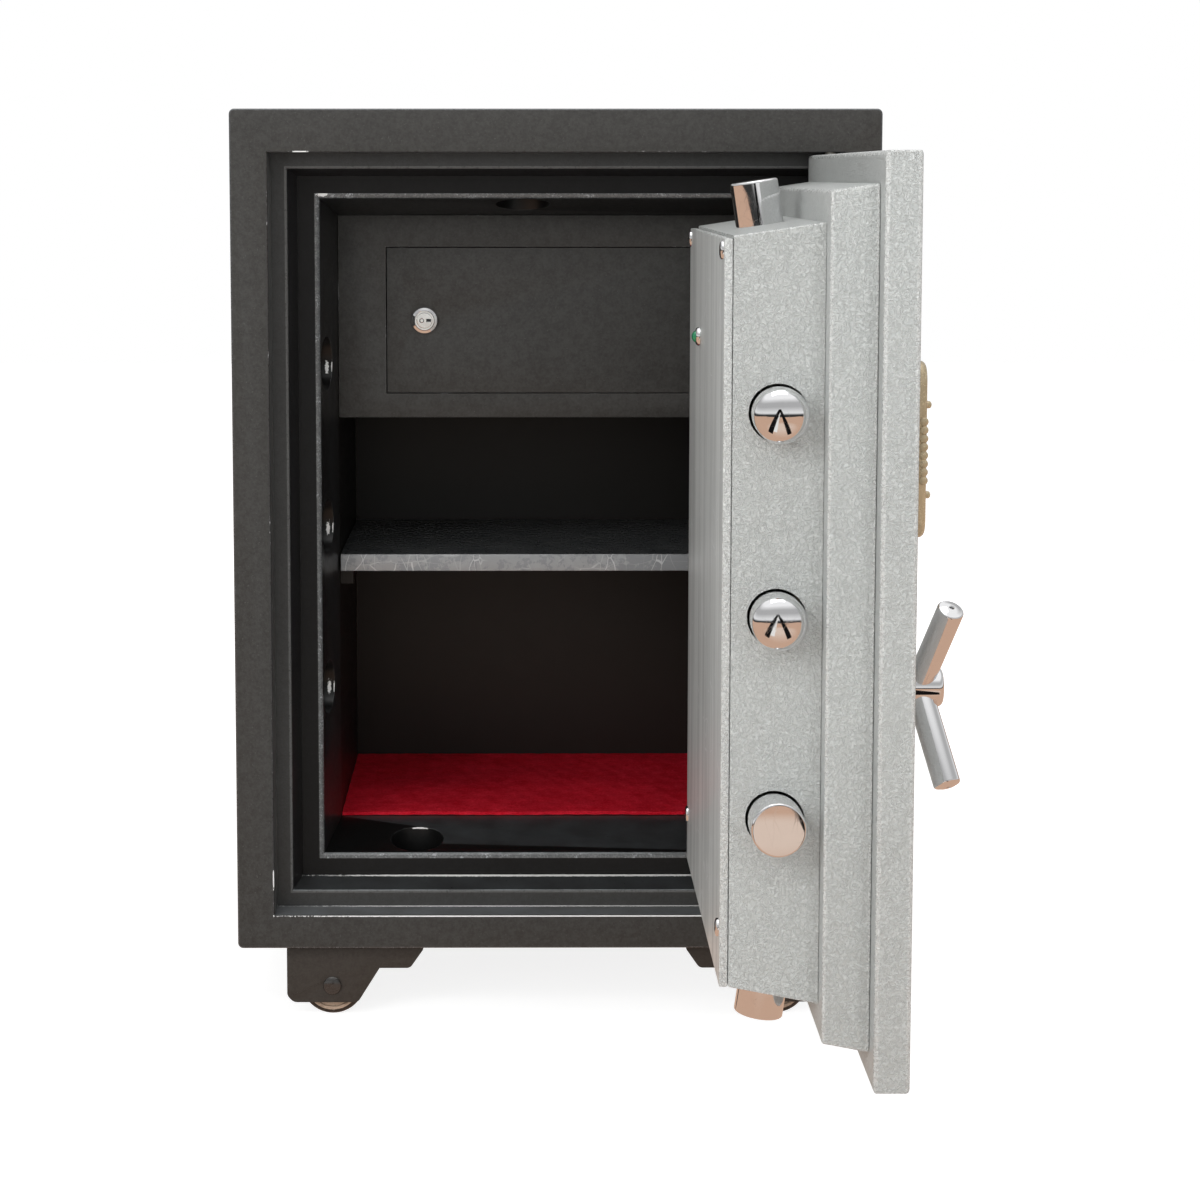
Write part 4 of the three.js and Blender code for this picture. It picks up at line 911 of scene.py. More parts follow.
@dataclass(frozen=True)
class Felt(Finish):
    """Needled felt: matted fibres, paler where they stand up."""

    title: str
    colour: Colour
    pale: Colour

    def wire(self, wires: Wiring, body: bpy.types.Node) -> None:
        """Wires the felt.

        Args:
            wires: the material's wiring.
            body: its shader.
        """
        spot = wires.spot()
        bent = wires.warped(spot, 160.0, 2.0, 0.006)
        strands = [wires.noise(wires.stretched(bent, stretch, turn=(0, 0, turn)), 900.0)
                   for stretch, turn in (((1, 0.15, 1), 0.4), ((0.15, 1, 1), 1.1))]
        nap = wires.sum("MAXIMUM", *strands)
        clumps = wires.noise(spot, 70.0, 4.0, 0.7)
        both = wires.blend(nap, 0.7, clumps, 0.5)
        lint = wires.spread(wires.noise(spot, 420.0, 2.0), 0.72, 0.78)
        colour = wires.mix(wires.spread(both, 0.5, 0.95), self.colour, self.pale)
        colour = wires.mix(wires.sum("MULTIPLY", lint, 0.35), colour, (0.75, 0.35, 0.38, 1))
        toned = Effect.use(wires, "tone_drift", {"Colour": colour, "Scale": 14.0, "Depth": 0.18})
        rough = wires.spread(nap, 0.3, 0.7, 1.0, 0.9)
        self.give(wires, body, colour=toned.outputs["Colour"], rough=rough, gloss=0.02,
                  normal=self.bump(wires, both, 0.0011))


@dataclass(frozen=True)
class CastMix(Finish):
    """The pale gritty fire filling."""

    title: str
    colour: Colour

    def wire(self, wires: Wiring, body: bpy.types.Node) -> None:
        """Wires the mix.

        Args:
            wires: the material's wiring.
            body: its shader.
        """
        grit = Effect.use(wires, "powder_grain", {"Scale": 300.0})
        toned = Effect.use(wires, "tone_drift", {"Colour": self.colour, "Scale": 25.0, "Depth": 0.2})
        colour = wires.mix(wires.sum("MULTIPLY", grit.outputs["Fleck"], 0.5), toned.outputs["Colour"],
                           (0.2, 0.19, 0.17, 1))
        self.give(wires, body, colour=colour, rough=wires.spread(grit.outputs["Height"], 0.3, 0.7, 0.88, 1.0),
                  normal=self.bump(wires, grit.outputs["Height"], 0.0006))


CHARCOAL = PowderCoat("charcoal powder coat", shade(51.5, 50.5, 48.5), shade(124, 124, 121), grain=560.0,
                      depth=0.0003)
# Castor brackets: the warm brown tint is a painted reflection of the peach floor.
CHARCOAL_WARM_REFLECTION = PowderCoat("charcoal powder coat with a painted warm reflection", shade(53, 48.5, 44.5), shade(112, 106, 98),
                           grain=560.0, depth=0.0002)
# The front folds: a lighter, bluish coat that is a painted highlight, brightest where they face up.
FOLD_PAINTED_HIGHLIGHT = PowderCoat("charcoal fold coat with a painted highlight", shade(66, 67, 68), shade(110, 114, 118),
                             rough=0.26, gloss=0.8, depth=0.00003, dust_and_sheen=0.8, dust_and_sheen_colour=(0.2, 0.215, 0.225, 1))
# Rivet heads: the light grey on their upward facets is a painted highlight.
RIVET_PAINTED_HIGHLIGHT = PowderCoat("charcoal rivet paint with a painted highlight", shade(41, 39, 38), shade(90, 88, 84), rough=0.2, gloss=0.8,
                   depth=0.00002, dust_and_sheen=1.0, dust_and_sheen_colour=(0.34, 0.34, 0.33, 1))
CHARCOAL_RUBBED = PowderCoat("charcoal coat rubbed at its edges", shade(58, 57, 55), shade(140, 142, 142),
                             rough=0.32, gloss=0.5, chips=0.3, dust_and_sheen=0.05, chip_colour=(0.2, 0.2, 0.2, 1))
# The doorway rim: chips and the scar at the top-left corner are wear; the bluish colour where it faces up is a
# painted sheen.
RIM_WEAR_AND_HIGHLIGHT = PowderCoat("charcoal rim with scars and painted highlights", shade(46, 45, 44), shade(110, 112, 112), rough=0.3,
                        gloss=0.5, chips=0.22, dust_and_sheen=1.0, chip_colour=(0.3, 0.3, 0.3, 1),
                        dust_and_sheen_colour=(0.46, 0.5, 0.52, 1),
                        scars_and_highlights=((-0.1882, -0.215, 0.5992, 0.0068, 0.0016),
                               # a light mark low on the rim's left side
                               (-0.2123, -0.215, 0.0533, 0.0012, 0.0072),
                               # a painted highlight line along the rim's bottom edge
                               (0.0, -0.2148, 0.0252, 0.216, 0.0012)))
# The recess face: the charcoal paint made lighter to stand in for light in the recess, with a painted sheen where
# it faces up and a painted highlight line along its bottom edge.
RECESS_PAINTED_LIGHT = PowderCoat("charcoal recess coat lightened by painted light", shade(88, 88, 87), shade(134, 136, 136), rough=0.4, gloss=0.3,
                   dust_and_sheen=0.6, dust_and_sheen_colour=(0.2, 0.22, 0.235, 1), depth=0.00003,
                   scars_and_highlights=((0.0, -0.1875, 0.0252, 0.196, 0.003),))
LEDGE = PowderCoat("charcoal ledge coat", shade(57, 57, 56), shade(110, 112, 112), rough=0.44, gloss=0.3,
                   dust_and_sheen=0.1, depth=0.00003)
# The jamb's walls: the bluish colour where they face up is a painted sheen, and the long line across the bottom is
# a painted highlight line.
JAMB = PowderCoat("charcoal jamb coat", shade(34, 33, 33), shade(80, 82, 82), rough=0.34, gloss=0.45, dust_and_sheen=0.6,
                  depth=0.00002, dust_and_sheen_colour=(0.065, 0.072, 0.076, 1), scars_and_highlights=((0.0, -0.162, 0.0427, 0.19, 0.002),))
JAMB_FACE = PowderCoat("flat charcoal jamb coat", shade(27, 27, 27), shade(56, 57, 57), rough=0.5, gloss=0.15,
                       dust_and_sheen=0.0, depth=0.00002)
# The ledge's rounded edges: chips are wear; the lighter base and the bluish colour where they face up are a
# painted highlight.
LEDGE_WEAR_AND_HIGHLIGHT = PowderCoat("charcoal ledge edges with wear and painted highlights", shade(82, 82, 81), shade(140, 142, 142),
                          rough=0.3, gloss=0.5, chips=0.15, dust_and_sheen=1.0, chip_scale=700.0,
                          chip_colour=(0.25, 0.25, 0.25, 1), dust_and_sheen_colour=(0.42, 0.46, 0.48, 1))
# The lip's rounding and chamfer: chips and the corner scar are wear; the light base and the bluish colour where it
# faces up are a painted highlight strip.
LIP_WEAR_AND_HIGHLIGHT = PowderCoat("charcoal lip coat with wear and painted highlights", shade(90, 91, 91), shade(180, 182, 183),
                         rough=0.26, gloss=0.6, chips=0.3, dust_and_sheen=0.8, chip_scale=620.0,
                         chip_colour=(0.36, 0.37, 0.38, 1), dust_and_sheen_colour=(0.44, 0.47, 0.49, 1),
                         scars_and_highlights=((-0.1758, -0.1604, 0.5678, 0.0044, 0.0022),))
# Painted glints in the side sockets: a wide bright patch deep in each and a thin line at its far rim.
SOCKET_PAINTED_GLINTS = tuple(mark for z in (0.1817, 0.3077, 0.4337) for mark in (
    (-0.1764, -0.1158, z, 0.0015, 0.006), (-0.1725, -0.1153, z, 0.0006, 0.005)))
# The socket walls: near black as painted shade inside the holes, with the painted glints and one painted highlight
# along the bottom socket's back rim.
SOCKET_PAINTED_SHADE = PowderCoat("near-black socket coat as painted shade", shade(15, 15, 15), shade(30, 30, 30), rough=0.34, gloss=0.4,
                    depth=0.00001, dust_and_sheen=0.0, scars_and_highlights=(*SOCKET_PAINTED_GLINTS, (-0.105, -0.1128, 0.0678, 0.0078, 0.0006)))
LINER = PowderCoat("black liner paint", shade(27, 25, 23), shade(50, 47, 43), rough=0.42, gloss=0.4,
                   grain=500.0, depth=0.00005, dust_and_sheen=0.05)
HAMMERED = HammeredPaint("silver hammered paint", shade(189, 192, 190), shade(208, 211, 209))
HAMMERED_RUBBED = HammeredPaint("silver hammered paint rubbed at its edges", shade(204, 206, 204),
                                shade(220, 222, 220), rough=0.34, rubbed=0.12)
CHROME = Chrome("bright chrome")
COVER_SHEET = SatinSheet("satin cover sheet", shade(171, 172, 170), shade(232, 233, 230), rough=0.36, metal=0.2)
SHELF_TOP = PowderCoat("dark shelf paint", shade(44, 48, 52), shade(92, 98, 104), rough=0.3, gloss=0.55,
                       grain=420.0, dust_and_sheen=0.2, chips=0.2, chip_colour=(0.12, 0.13, 0.14, 1))
SHELF_EDGE = BareMetal("rubbed shelf edge", shade(158, 159, 160), shade(126, 129, 131), rough=0.42, metal=0.3,
                       scratches=0.55, scratch_scale=120.0, scratch_width=0.022)
ZINC = BareMetal("zinc plate", shade(172, 172, 166), shade(120, 118, 110), rough=0.38)
IRON = BareMetal("worn wheel iron", shade(188, 166, 146), shade(140, 118, 100), rough=0.45, metal=0.2,
                 scratches=0.06)
TYRE = BareMetal("dark wheel rim", shade(34, 30, 27), shade(22, 19, 17), rough=0.5, metal=0.0, scratches=0.05)
LOCK_FACE = BareMetal("satin lock face", shade(222, 221, 217), shade(204, 202, 196), rough=0.4, metal=0.3,
                      scratches=0.1)
GOLD = Moulded("champagne keypad plastic", shade(192, 174, 142), rough=0.26, metal=0.35, coat=0.4)
KEY_RUBBER = Moulded("dark key rubber", shade(40, 38, 37), rough=0.62, grain=1300.0, depth=0.00002)
GREEN = Moulded("clear green button", shade(10, 128, 84), rough=0.12, coat=1.0)
RED_FELT = Felt("red felt", shade(184, 15, 31), shade(240, 54, 74))
FILLING = CastMix("fire filling", shade(182, 176, 164))


class Dressing:
    """How a finished piece joins the safe."""

    @staticmethod
    def finish(piece: bpy.types.Object, body: str, slot: str, *finishes: Finish,
               replaces: Sequence[str] = ()) -> bpy.types.Object:
        """Gives a piece its finish, its body and the nodes that it stands for.

        Args:
            piece: the modelled piece.
            body: the CAD body that it moves with.
            slot: the record's material slot of its finish; not used.
            finishes: one for each material slot of its mesh.
            replaces: the CAD nodes that it takes the place of.

        Returns:
            The piece.
        """
        indices = [face.material_index for face in piece.data.polygons]
        piece.data.materials.clear()
        for finish in finishes:
            piece.data.materials.append(finish.material())
        for face, index in zip(piece.data.polygons, indices):
            face.material_index = min(index, len(finishes) - 1)
        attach(piece, body)
        if replaces:
            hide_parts(*replaces)
        log.info("%s rides on %s (%d faces)", piece.name, body, len(piece.data.polygons))
        return piece

    @staticmethod
    def repaint(finish: Finish, *nodes: str) -> None:
        """Gives CAD nodes that keep their shape a finish.

        Args:
            finish: the finish.
            nodes: the nodes' names.
        """
        for node in nodes:
            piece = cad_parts[node]
            piece.data.materials.clear()
            piece.data.materials.append(finish.material())
            log.info("%s keeps its shape", node)


@dataclass
class Cabinet:
    """The folded shell, the stepped jamb and the liner."""

    rim_round: float = 0.0009
    ledge_round: float = 0.0016
    lip_round: float = 0.0011
    socket_round: float = 0.0012
    shell_crease: float = 40
    # Openings that are just wider than their own edges: half width, bottom and top
    rim: Place = (0.216, 0.02, 0.604)
    ledge: Place = (0.21, 0.03, 0.595)
    lip: Place = (0.19, 0.05, 0.575)
    # Depths behind which edges belong to the next part
    fold_back: float = FACE_Y + 0.006
    ledge_back: float = FACE_Y + 0.0296
    lip_back: float = FACE_Y + 0.0606
    mouth: float = FACE_Y + 0.1214
    socket_y: float = -0.1358
    socket_reach: float = 0.0235
    socket_facet: float = 0.008
    side_wall: float = 0.1665
    side_sockets: Place = (-0.126, 0, 0.126)
    end_wall: float = 0.2405
    end_sockets: tuple[float, float] = (-0.024, -0.107)

    def build(self) -> None:
        """Builds and dresses the cabinet."""
        self.shell()
        self.outer_step()
        self.inner_step()
        Dressing.repaint(RECESS_PAINTED_LIGHT, "front_frame")
        Dressing.repaint(LINER, "inner_liner")
        Dressing.repaint(FILLING, "fire_filling")
        Dressing.repaint(ZINC, "pivot_pin_top", "pivot_pin_bottom")

    @staticmethod
    def within(opening: Place, back: float) -> Callable:
        """Makes a test for edges in an opening, its half width, bottom and top, and before a depth."""
        half_width, bottom, top = opening
        return Bench.all_verts(lambda co: co.y < back and abs(co.x) < half_width and bottom < co.z < top)

    @staticmethod
    def on_front(face: bmesh.types.BMFace) -> bool:
        """Whether a face is flat and looks out of the doorway."""
        return face.material_index == 0 and face.normal.y < -0.98

    def shell(self) -> None:
        """Rounds the doorway's rim on the shell and gives the folds a lighter coat, a painted highlight along
        them.
        """
        shell = Bench.from_node("outer_shell", "cabinet_shell")

        def on_fold(face: bmesh.types.BMFace) -> bool:
            """A facet of the rounded folds round the cabinet's front."""
            flat = max(abs(part) for part in face.normal)
            return face.material_index == 0 and flat < 0.9995 and face.calc_center_median().y < self.fold_back

        Bench.round_edges(shell, self.rim_round, 3, self.within(self.rim, FACE_Y + TOUCH), worn=True)
        # The front folds take the lighter coat with its painted highlight.
        Bench.mark_faces(shell, 2, on_fold)
        Bench.smooth(shell, self.shell_crease)
        Dressing.finish(shell, "cabinet", "charcoal_paint", CHARCOAL, RIM_WEAR_AND_HIGHLIGHT, FOLD_PAINTED_HIGHLIGHT,
                        replaces=["outer_shell"])

    def outer_step(self) -> None:
        """Rounds the inner edges of the jamb's first step."""
        step = Bench.from_node("jamb_ring_outer", "jamb_step_outer")
        Bench.round_edges(step, self.ledge_round, 4, self.within(self.ledge, self.ledge_back), worn=True)
        Bench.mark_faces(step, 2, self.on_front)
        Bench.smooth(step, FOLD_ANGLE)
        Dressing.finish(step, "cabinet", "charcoal_paint", JAMB, LEDGE_WEAR_AND_HIGHLIGHT, LEDGE,
                        replaces=["jamb_ring_outer"])

    def inner_step(self) -> None:
        """Rounds the lip of the jamb's second step and the rims of the bolt sockets."""
        step = Bench.from_node("jamb_ring_inner", "jamb_step_inner")
        before_mouth = self.within(self.lip, self.mouth)

        def on_socket(edge: bmesh.types.BMEdge) -> bool:
            """A facet of a bolt socket's rim."""
            return (before_mouth(edge) and edge.calc_length() < self.socket_facet
                    and all(vert.co.y > self.lip_back for vert in edge.verts))

        def in_socket(face: bmesh.types.BMFace) -> bool:
            """A face inside one of the bolt sockets.

            Args:
                face: the face.

            Returns:
                Whether it is one.
            """
            spot = face.calc_center_median()
            deep, rise = spot.y - self.socket_y, spot.z - DOOR_CENTRE_Z
            side = abs(spot.x) > self.side_wall and any(
                math.hypot(deep, rise - height) < self.socket_reach for height in self.side_sockets)
            end = abs(rise) > self.end_wall and any(
                math.hypot(deep, spot.x - across) < self.socket_reach for across in self.end_sockets)
            return (side or end) and face.material_index == 0

        def on_chamfer(face: bmesh.types.BMFace) -> bool:
            """The slanted face of the bevelled lip.

            Args:
                face: the face.

            Returns:
                Whether it is one.
            """
            half_width, bottom, top = self.lip
            spot = face.calc_center_median()
            return (0.15 < abs(face.normal.y) < 0.985 and spot.y < self.lip_back
                    and abs(spot.x) < half_width and bottom < spot.z < top)

        Bench.round_edges(step, self.lip_round, 3, self.within(self.lip, self.lip_back), worn=True, sharpness=25)
        # The chamfer takes the lip coat and its painted highlight.
        Bench.mark_faces(step, 1, on_chamfer)
        Bench.round_edges(step, self.socket_round, 3, on_socket, worn=True, sharpness=40)
        # Socket walls take the near-black coat: painted shade with painted glints.
        Bench.mark_faces(step, 2, in_socket)
        Bench.mark_faces(step, 3, self.on_front)
        Bench.smooth(step, FOLD_ANGLE)
        Dressing.finish(step, "cabinet", "charcoal_paint", JAMB, LIP_WEAR_AND_HIGHLIGHT, SOCKET_PAINTED_SHADE, JAMB_FACE,
                        replaces=["jamb_ring_inner"])


@dataclass
class Locker:
    """The locker's housing, its hinged panel and its cam lock."""

    edge_round: float = 0.0005
    flange_radius: float = 0.011
    flange_rise: float = 0.0033
    barrel_radius: float = 0.009
    slope_radius: float = 0.0099
    face_radius: float = 0.0079
    face_inset: float = 0.0004
    face_recess: float = 0.0003
    plug_radius: float = 0.006
    plug_round: float = 0.0003
    play: float = 0.00015
    slot_start: float = 0.0014
    slot_length: float = 0.0038
    slot_width: float = 0.0026
    slot_depth: float = 0.004
    nib_radius: float = 0.0017
    nib_offset: float = 0.0022
    groove_depth: float = 0.0012
    cut_over: float = 0.002
    crease: float = 20
    collar_sides: int = 64
    core_sides: int = 48
    nib_sides: int = 24

    def build(self) -> None:
        """Builds and dresses the locker."""
        for node, name, body in (("locker_housing", "locker_case", "cabinet"),
                                 ("locker_door", "locker_panel", "locker_door")):
            piece = Bench.from_node(node, name)
            Bench.round_edges(piece, self.edge_round, 2, Bench.in_front(node), worn=True)
            Bench.smooth(piece, FOLD_ANGLE)
            Dressing.finish(piece, body, "charcoal_paint", CHARCOAL, CHARCOAL_RUBBED, replaces=[node])
        Dressing.repaint(ZINC, "locker_hinge_pin", "lock_cam")
        self.lock()

    def lock(self) -> None:
        """Builds the lock's barrel, its face sunk a little inside a sloping collar."""
        low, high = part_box("lock_barrel")
        face = seat("lock_barrel", OUT_OF_DOORWAY)
        rise, back = self.flange_rise, self.flange_rise - (high.y - low.y)
        floor = rise - self.face_recess
        barrel = Bench.turned("lock_collar", [
            (self.barrel_radius, back), (self.barrel_radius, 0), (self.flange_radius, 0),
            (self.flange_radius, rise * 0.25), (self.flange_radius - self.face_inset, rise * 0.5),
            (self.slope_radius, rise * 0.77), (self.face_radius, rise),
            (self.face_radius - self.face_inset, floor), (self.plug_radius + self.play, floor),
            (self.plug_radius + self.play, back + 0.001)], self.collar_sides)
        Bench.mark_faces(barrel, 1, self.level_above(rise - TOUCH))
        Bench.settle(barrel, face - OUT_OF_DOORWAY * rise, OUT_OF_DOORWAY)
        Dressing.finish(Bench.smooth(barrel, self.crease), "locker_door", "chrome", CHROME, LOCK_FACE,
                        replaces=["lock_barrel"])
        self.core(face)

    def core(self, face: Vector) -> None:
        """Builds the plug that the key turns, with its slot and its round nib.

        Args:
            face: the middle of the lock's face.
        """
        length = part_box("lock_plug")[1].y - face.y
        plug = Bench.turned("lock_core", [
            (self.plug_radius, -length), (self.plug_radius, -self.face_inset),
            (self.plug_radius - self.plug_round, -self.face_recess)], self.core_sides)
        slot = Bench.block("slot", Vector((self.slot_start, -self.slot_width / 2, -self.slot_depth)),
                           Vector((self.slot_start + self.slot_length, self.slot_width / 2, self.cut_over)))
        rim = self.nib_radius + self.play
        groove = Bench.turned("groove", [(rim, -self.groove_depth), (rim, self.cut_over)], self.nib_sides)
        nib = Bench.turned("nib", [(self.nib_radius, -self.groove_depth - 0.0001), (self.nib_radius, -0.0006),
                                   (self.nib_radius * 0.7, -self.face_recess)], self.nib_sides)
        for part in (groove, nib):
            part.location = (-self.nib_offset, 0, 0)
            Bench.settle(part)
        Bench.cut(plug, [slot, groove])
        plug = Bench.join("lock_core", [plug, nib])
        Bench.mark_faces(plug, 1, self.level_above(-0.0006))
        turn = Matrix(((1, 0, 0), (0, 0, -1), (0, 1, 0))).to_4x4()
        plug.matrix_world = Matrix.Translation(face) @ turn
        Bench.settle(plug)
        Dressing.finish(Bench.smooth(plug, self.crease), "locker_lock", "chrome", CHROME, LOCK_FACE,
                        replaces=["lock_plug"])

    @staticmethod
    def level_above(height: float) -> Callable:
        """Makes a test for level faces above a height."""
        return lambda face: face.normal.z > 0.98 and face.calc_center_median().z > height


@dataclass
class ShelfAndMat:
    """The folded shelf and the felt mat under it."""

    edge_round: float = 0.0011
    bare_depth: float = 0.001
    mat_thickness: float = 0.0026
    mat_lift: float = 0.0002
    mat_crease: float = 60
    mat_across: int = 150
    mat_deep: int = 96
    front_reach: float = 0.012
    front_wander: float = 0.0012
    swell_height: float = 0.0007
    swell_margin: float = 0.02
    ripple: float = 0.00012

    def build(self) -> None:
        """Builds and dresses both."""
        self.shelf()
        self.mat()

    def shelf(self) -> None:
        """Rounds the shelf's front fold; the front face has its own bare finish."""
        bare_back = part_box("shelf")[0].y + self.bare_depth
        shelf = Bench.from_node("shelf", "folded_shelf")
        Bench.round_edges(shelf, self.edge_round, 3, Bench.in_front("shelf"), worn=True)
        Bench.mark_faces(shelf, 1, lambda face: face.normal.y < -0.4
                         and face.calc_center_median().y < bare_back)
        Bench.smooth(shelf, FOLD_ANGLE)
        Dressing.finish(shelf, "cabinet", "shelf_steel", SHELF_TOP, SHELF_EDGE, replaces=["shelf"])

    def mat(self) -> None:
        """Lays the felt: a fine grid with a softly wandering front edge and small swells."""
        low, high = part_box("felt_mat")
        width, depth = high.x - low.x, high.y - low.y
        middle = seat("felt_mat", -UP) + UP * self.mat_lift
        bpy.ops.mesh.primitive_grid_add(x_subdivisions=self.mat_across, y_subdivisions=self.mat_deep,
                                        size=1, location=middle)
        mat = bpy.context.object
        mat.name = "felt_sheet"
        mat.scale = (width, depth, 1)
        Bench.settle(mat)
        for vert in mat.data.vertices:
            x, y = vert.co.x, vert.co.y
            rim = min(high.x - abs(x), y - low.y, high.y - y)
            front = max(0.0, 1 - (y - low.y) / self.front_reach)
            vert.co.y += front * self.front_wander * (1 + math.sin(x * 47) * 0.6 + math.sin(x * 131 + 1) * 0.25)
            swell = 0.5 + 0.5 * math.sin(x * 38 + 1.3) * math.sin(y * 51 + 0.4)
            vert.co.z += (self.swell_height * swell * min(1.0, rim / self.swell_margin)
                          + self.ripple * math.sin(x * 410 + y * 170))
        Bench.take(mat)
        wall = mat.modifiers.new("wall", "SOLIDIFY")
        wall.thickness = self.mat_thickness
        wall.offset = 1
        bpy.ops.object.modifier_apply(modifier=wall.name)
        Bench.smooth(mat, self.mat_crease)
        Dressing.finish(mat, "cabinet", "red_felt", RED_FELT, replaces=["felt_mat"])


@dataclass
class Castors:
    """Four fixed castors: folded brackets, iron wheels and domed axle rivets."""

    edge_round: float = 0.0007
    corner_round: float = 0.0023
    wheel_radius: float = 0.0243
    wheel_half: float = 0.0125
    rim_round: float = 0.0032
    rim_soft: float = 0.0012
    tread_depth: float = 0.0036
    face_radius: float = 0.0178
    face_step: float = 0.0006
    face_dish: float = 0.0014
    bore_radius: float = 0.0044
    axle_radius: float = 0.004
    head_radius: float = 0.0069
    head_rise: float = 0.0032
    head_side: float = 0.0008
    head_steps: int = 7
    plate_thickness: float = 0.0031
    flange_foot: float = -0.015
    wheel_sides: int = 64
    axle_sides: int = 40

    def build(self) -> None:
        """Builds one castor's parts and sets a copy at each corner."""
        def at_corner(edge: bmesh.types.BMEdge) -> bool:
            """An edge across the plates' thickness, below the flange and clear of the bore.

            Args:
                edge: the edge.

            Returns:
                Whether it is one.
            """
            first, last = (vert.co for vert in edge.verts)
            along = abs(first.x - last.x) < 1e-5 and abs(first.z - last.z) < 1e-5
            return (along and edge.calc_length() < self.plate_thickness and first.z < self.flange_foot
                    and edge.calc_face_angle(0) < 1.4)

        wheel = self.wheel()
        axle = self.axle()
        for row in ("front", "rear"):
            for hand in ("left", "right"):
                corner = f"{row}_{hand}"
                bracket = Bench.from_node(f"castor_bracket_{corner}", f"castor_fork_{corner}")
                Bench.round_edges(bracket, self.corner_round, 3, at_corner)
                Bench.round_edges(bracket, self.edge_round, 2, lambda edge: True)
                Bench.smooth(bracket, FOLD_ANGLE)
                Dressing.finish(bracket, "cabinet", "charcoal_paint", CHARCOAL_WARM_REFLECTION,
                                replaces=[f"castor_bracket_{corner}"])
                self.set_copy(wheel, f"castor_roller_{corner}", f"castor_wheel_{corner}",
                              f"castor_wheel_{corner}", "wheel_iron", (IRON, TYRE))
                self.set_copy(axle, f"castor_rivet_{corner}", f"castor_axle_{corner}", "cabinet",
                              "charcoal_paint", (RIVET_PAINTED_HIGHLIGHT,))
        for spare in (wheel, axle):
            bpy.data.objects.remove(spare)

    @staticmethod
    def set_copy(piece: bpy.types.Object, name: str, node: str, body: str, slot: str,
                 finishes: Sequence[Finish]) -> None:
        """Sets a copy of a castor part at its node's middle."""
        copy = Bench.another(piece, name, seat(node))
        Dressing.finish(copy, body, slot, *finishes, replaces=[node])

    def wheel(self) -> bpy.types.Object:
        """Turns one wheel, dished on both faces, with a dark tread.

        Returns:
            The wheel, at the origin.
        """
        half, radius = self.wheel_half, self.wheel_radius
        dish, shoulder = half - self.face_dish, radius - self.rim_round
        tread = radius - self.tread_depth
        side = [(shoulder, half), (self.face_radius + self.face_step, half), (self.face_radius, dish),
                (self.bore_radius, dish)]
        wheel = Bench.turned("wheel", [
            *((across, -height) for across, height in reversed(side)), (radius, self.rim_round - half),
            (radius, half - self.rim_round), *side, (self.bore_radius, 0.0002 - dish)], self.wheel_sides)
        Bench.round_edges(wheel, self.rim_soft, 3, Bench.all_verts(lambda co: co.to_2d().length > tread))
        Bench.mark_faces(wheel, 1, lambda face: face.calc_center_median().to_2d().length > tread)
        Bench.settle(wheel, Vector(), OUT_OF_DOORWAY)
        return Bench.smooth(wheel, FOLD_ANGLE)

    def axle(self) -> bpy.types.Object:
        """Turns one axle with a domed head at each end.

        Returns:
            The axle, at the origin.
        """
        low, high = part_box("castor_axle_front_left")
        half = (high.y - low.y) / 2
        neck = half - self.head_rise
        dome = [(self.head_radius * math.cos(a),
                 neck + self.head_side + (self.head_rise - self.head_side) * math.sin(a))
                for a in quarter(self.head_steps)]
        top = [(self.axle_radius, neck), (self.head_radius, neck), *dome, (0.0004, half)]
        bottom = [(radius, -height) for radius, height in reversed(top)]
        axle = Bench.turned("axle", [*bottom, *top], self.axle_sides)
        Bench.settle(axle, Vector(), OUT_OF_DOORWAY)
        return Bench.smooth(axle, FOLD_ANGLE)


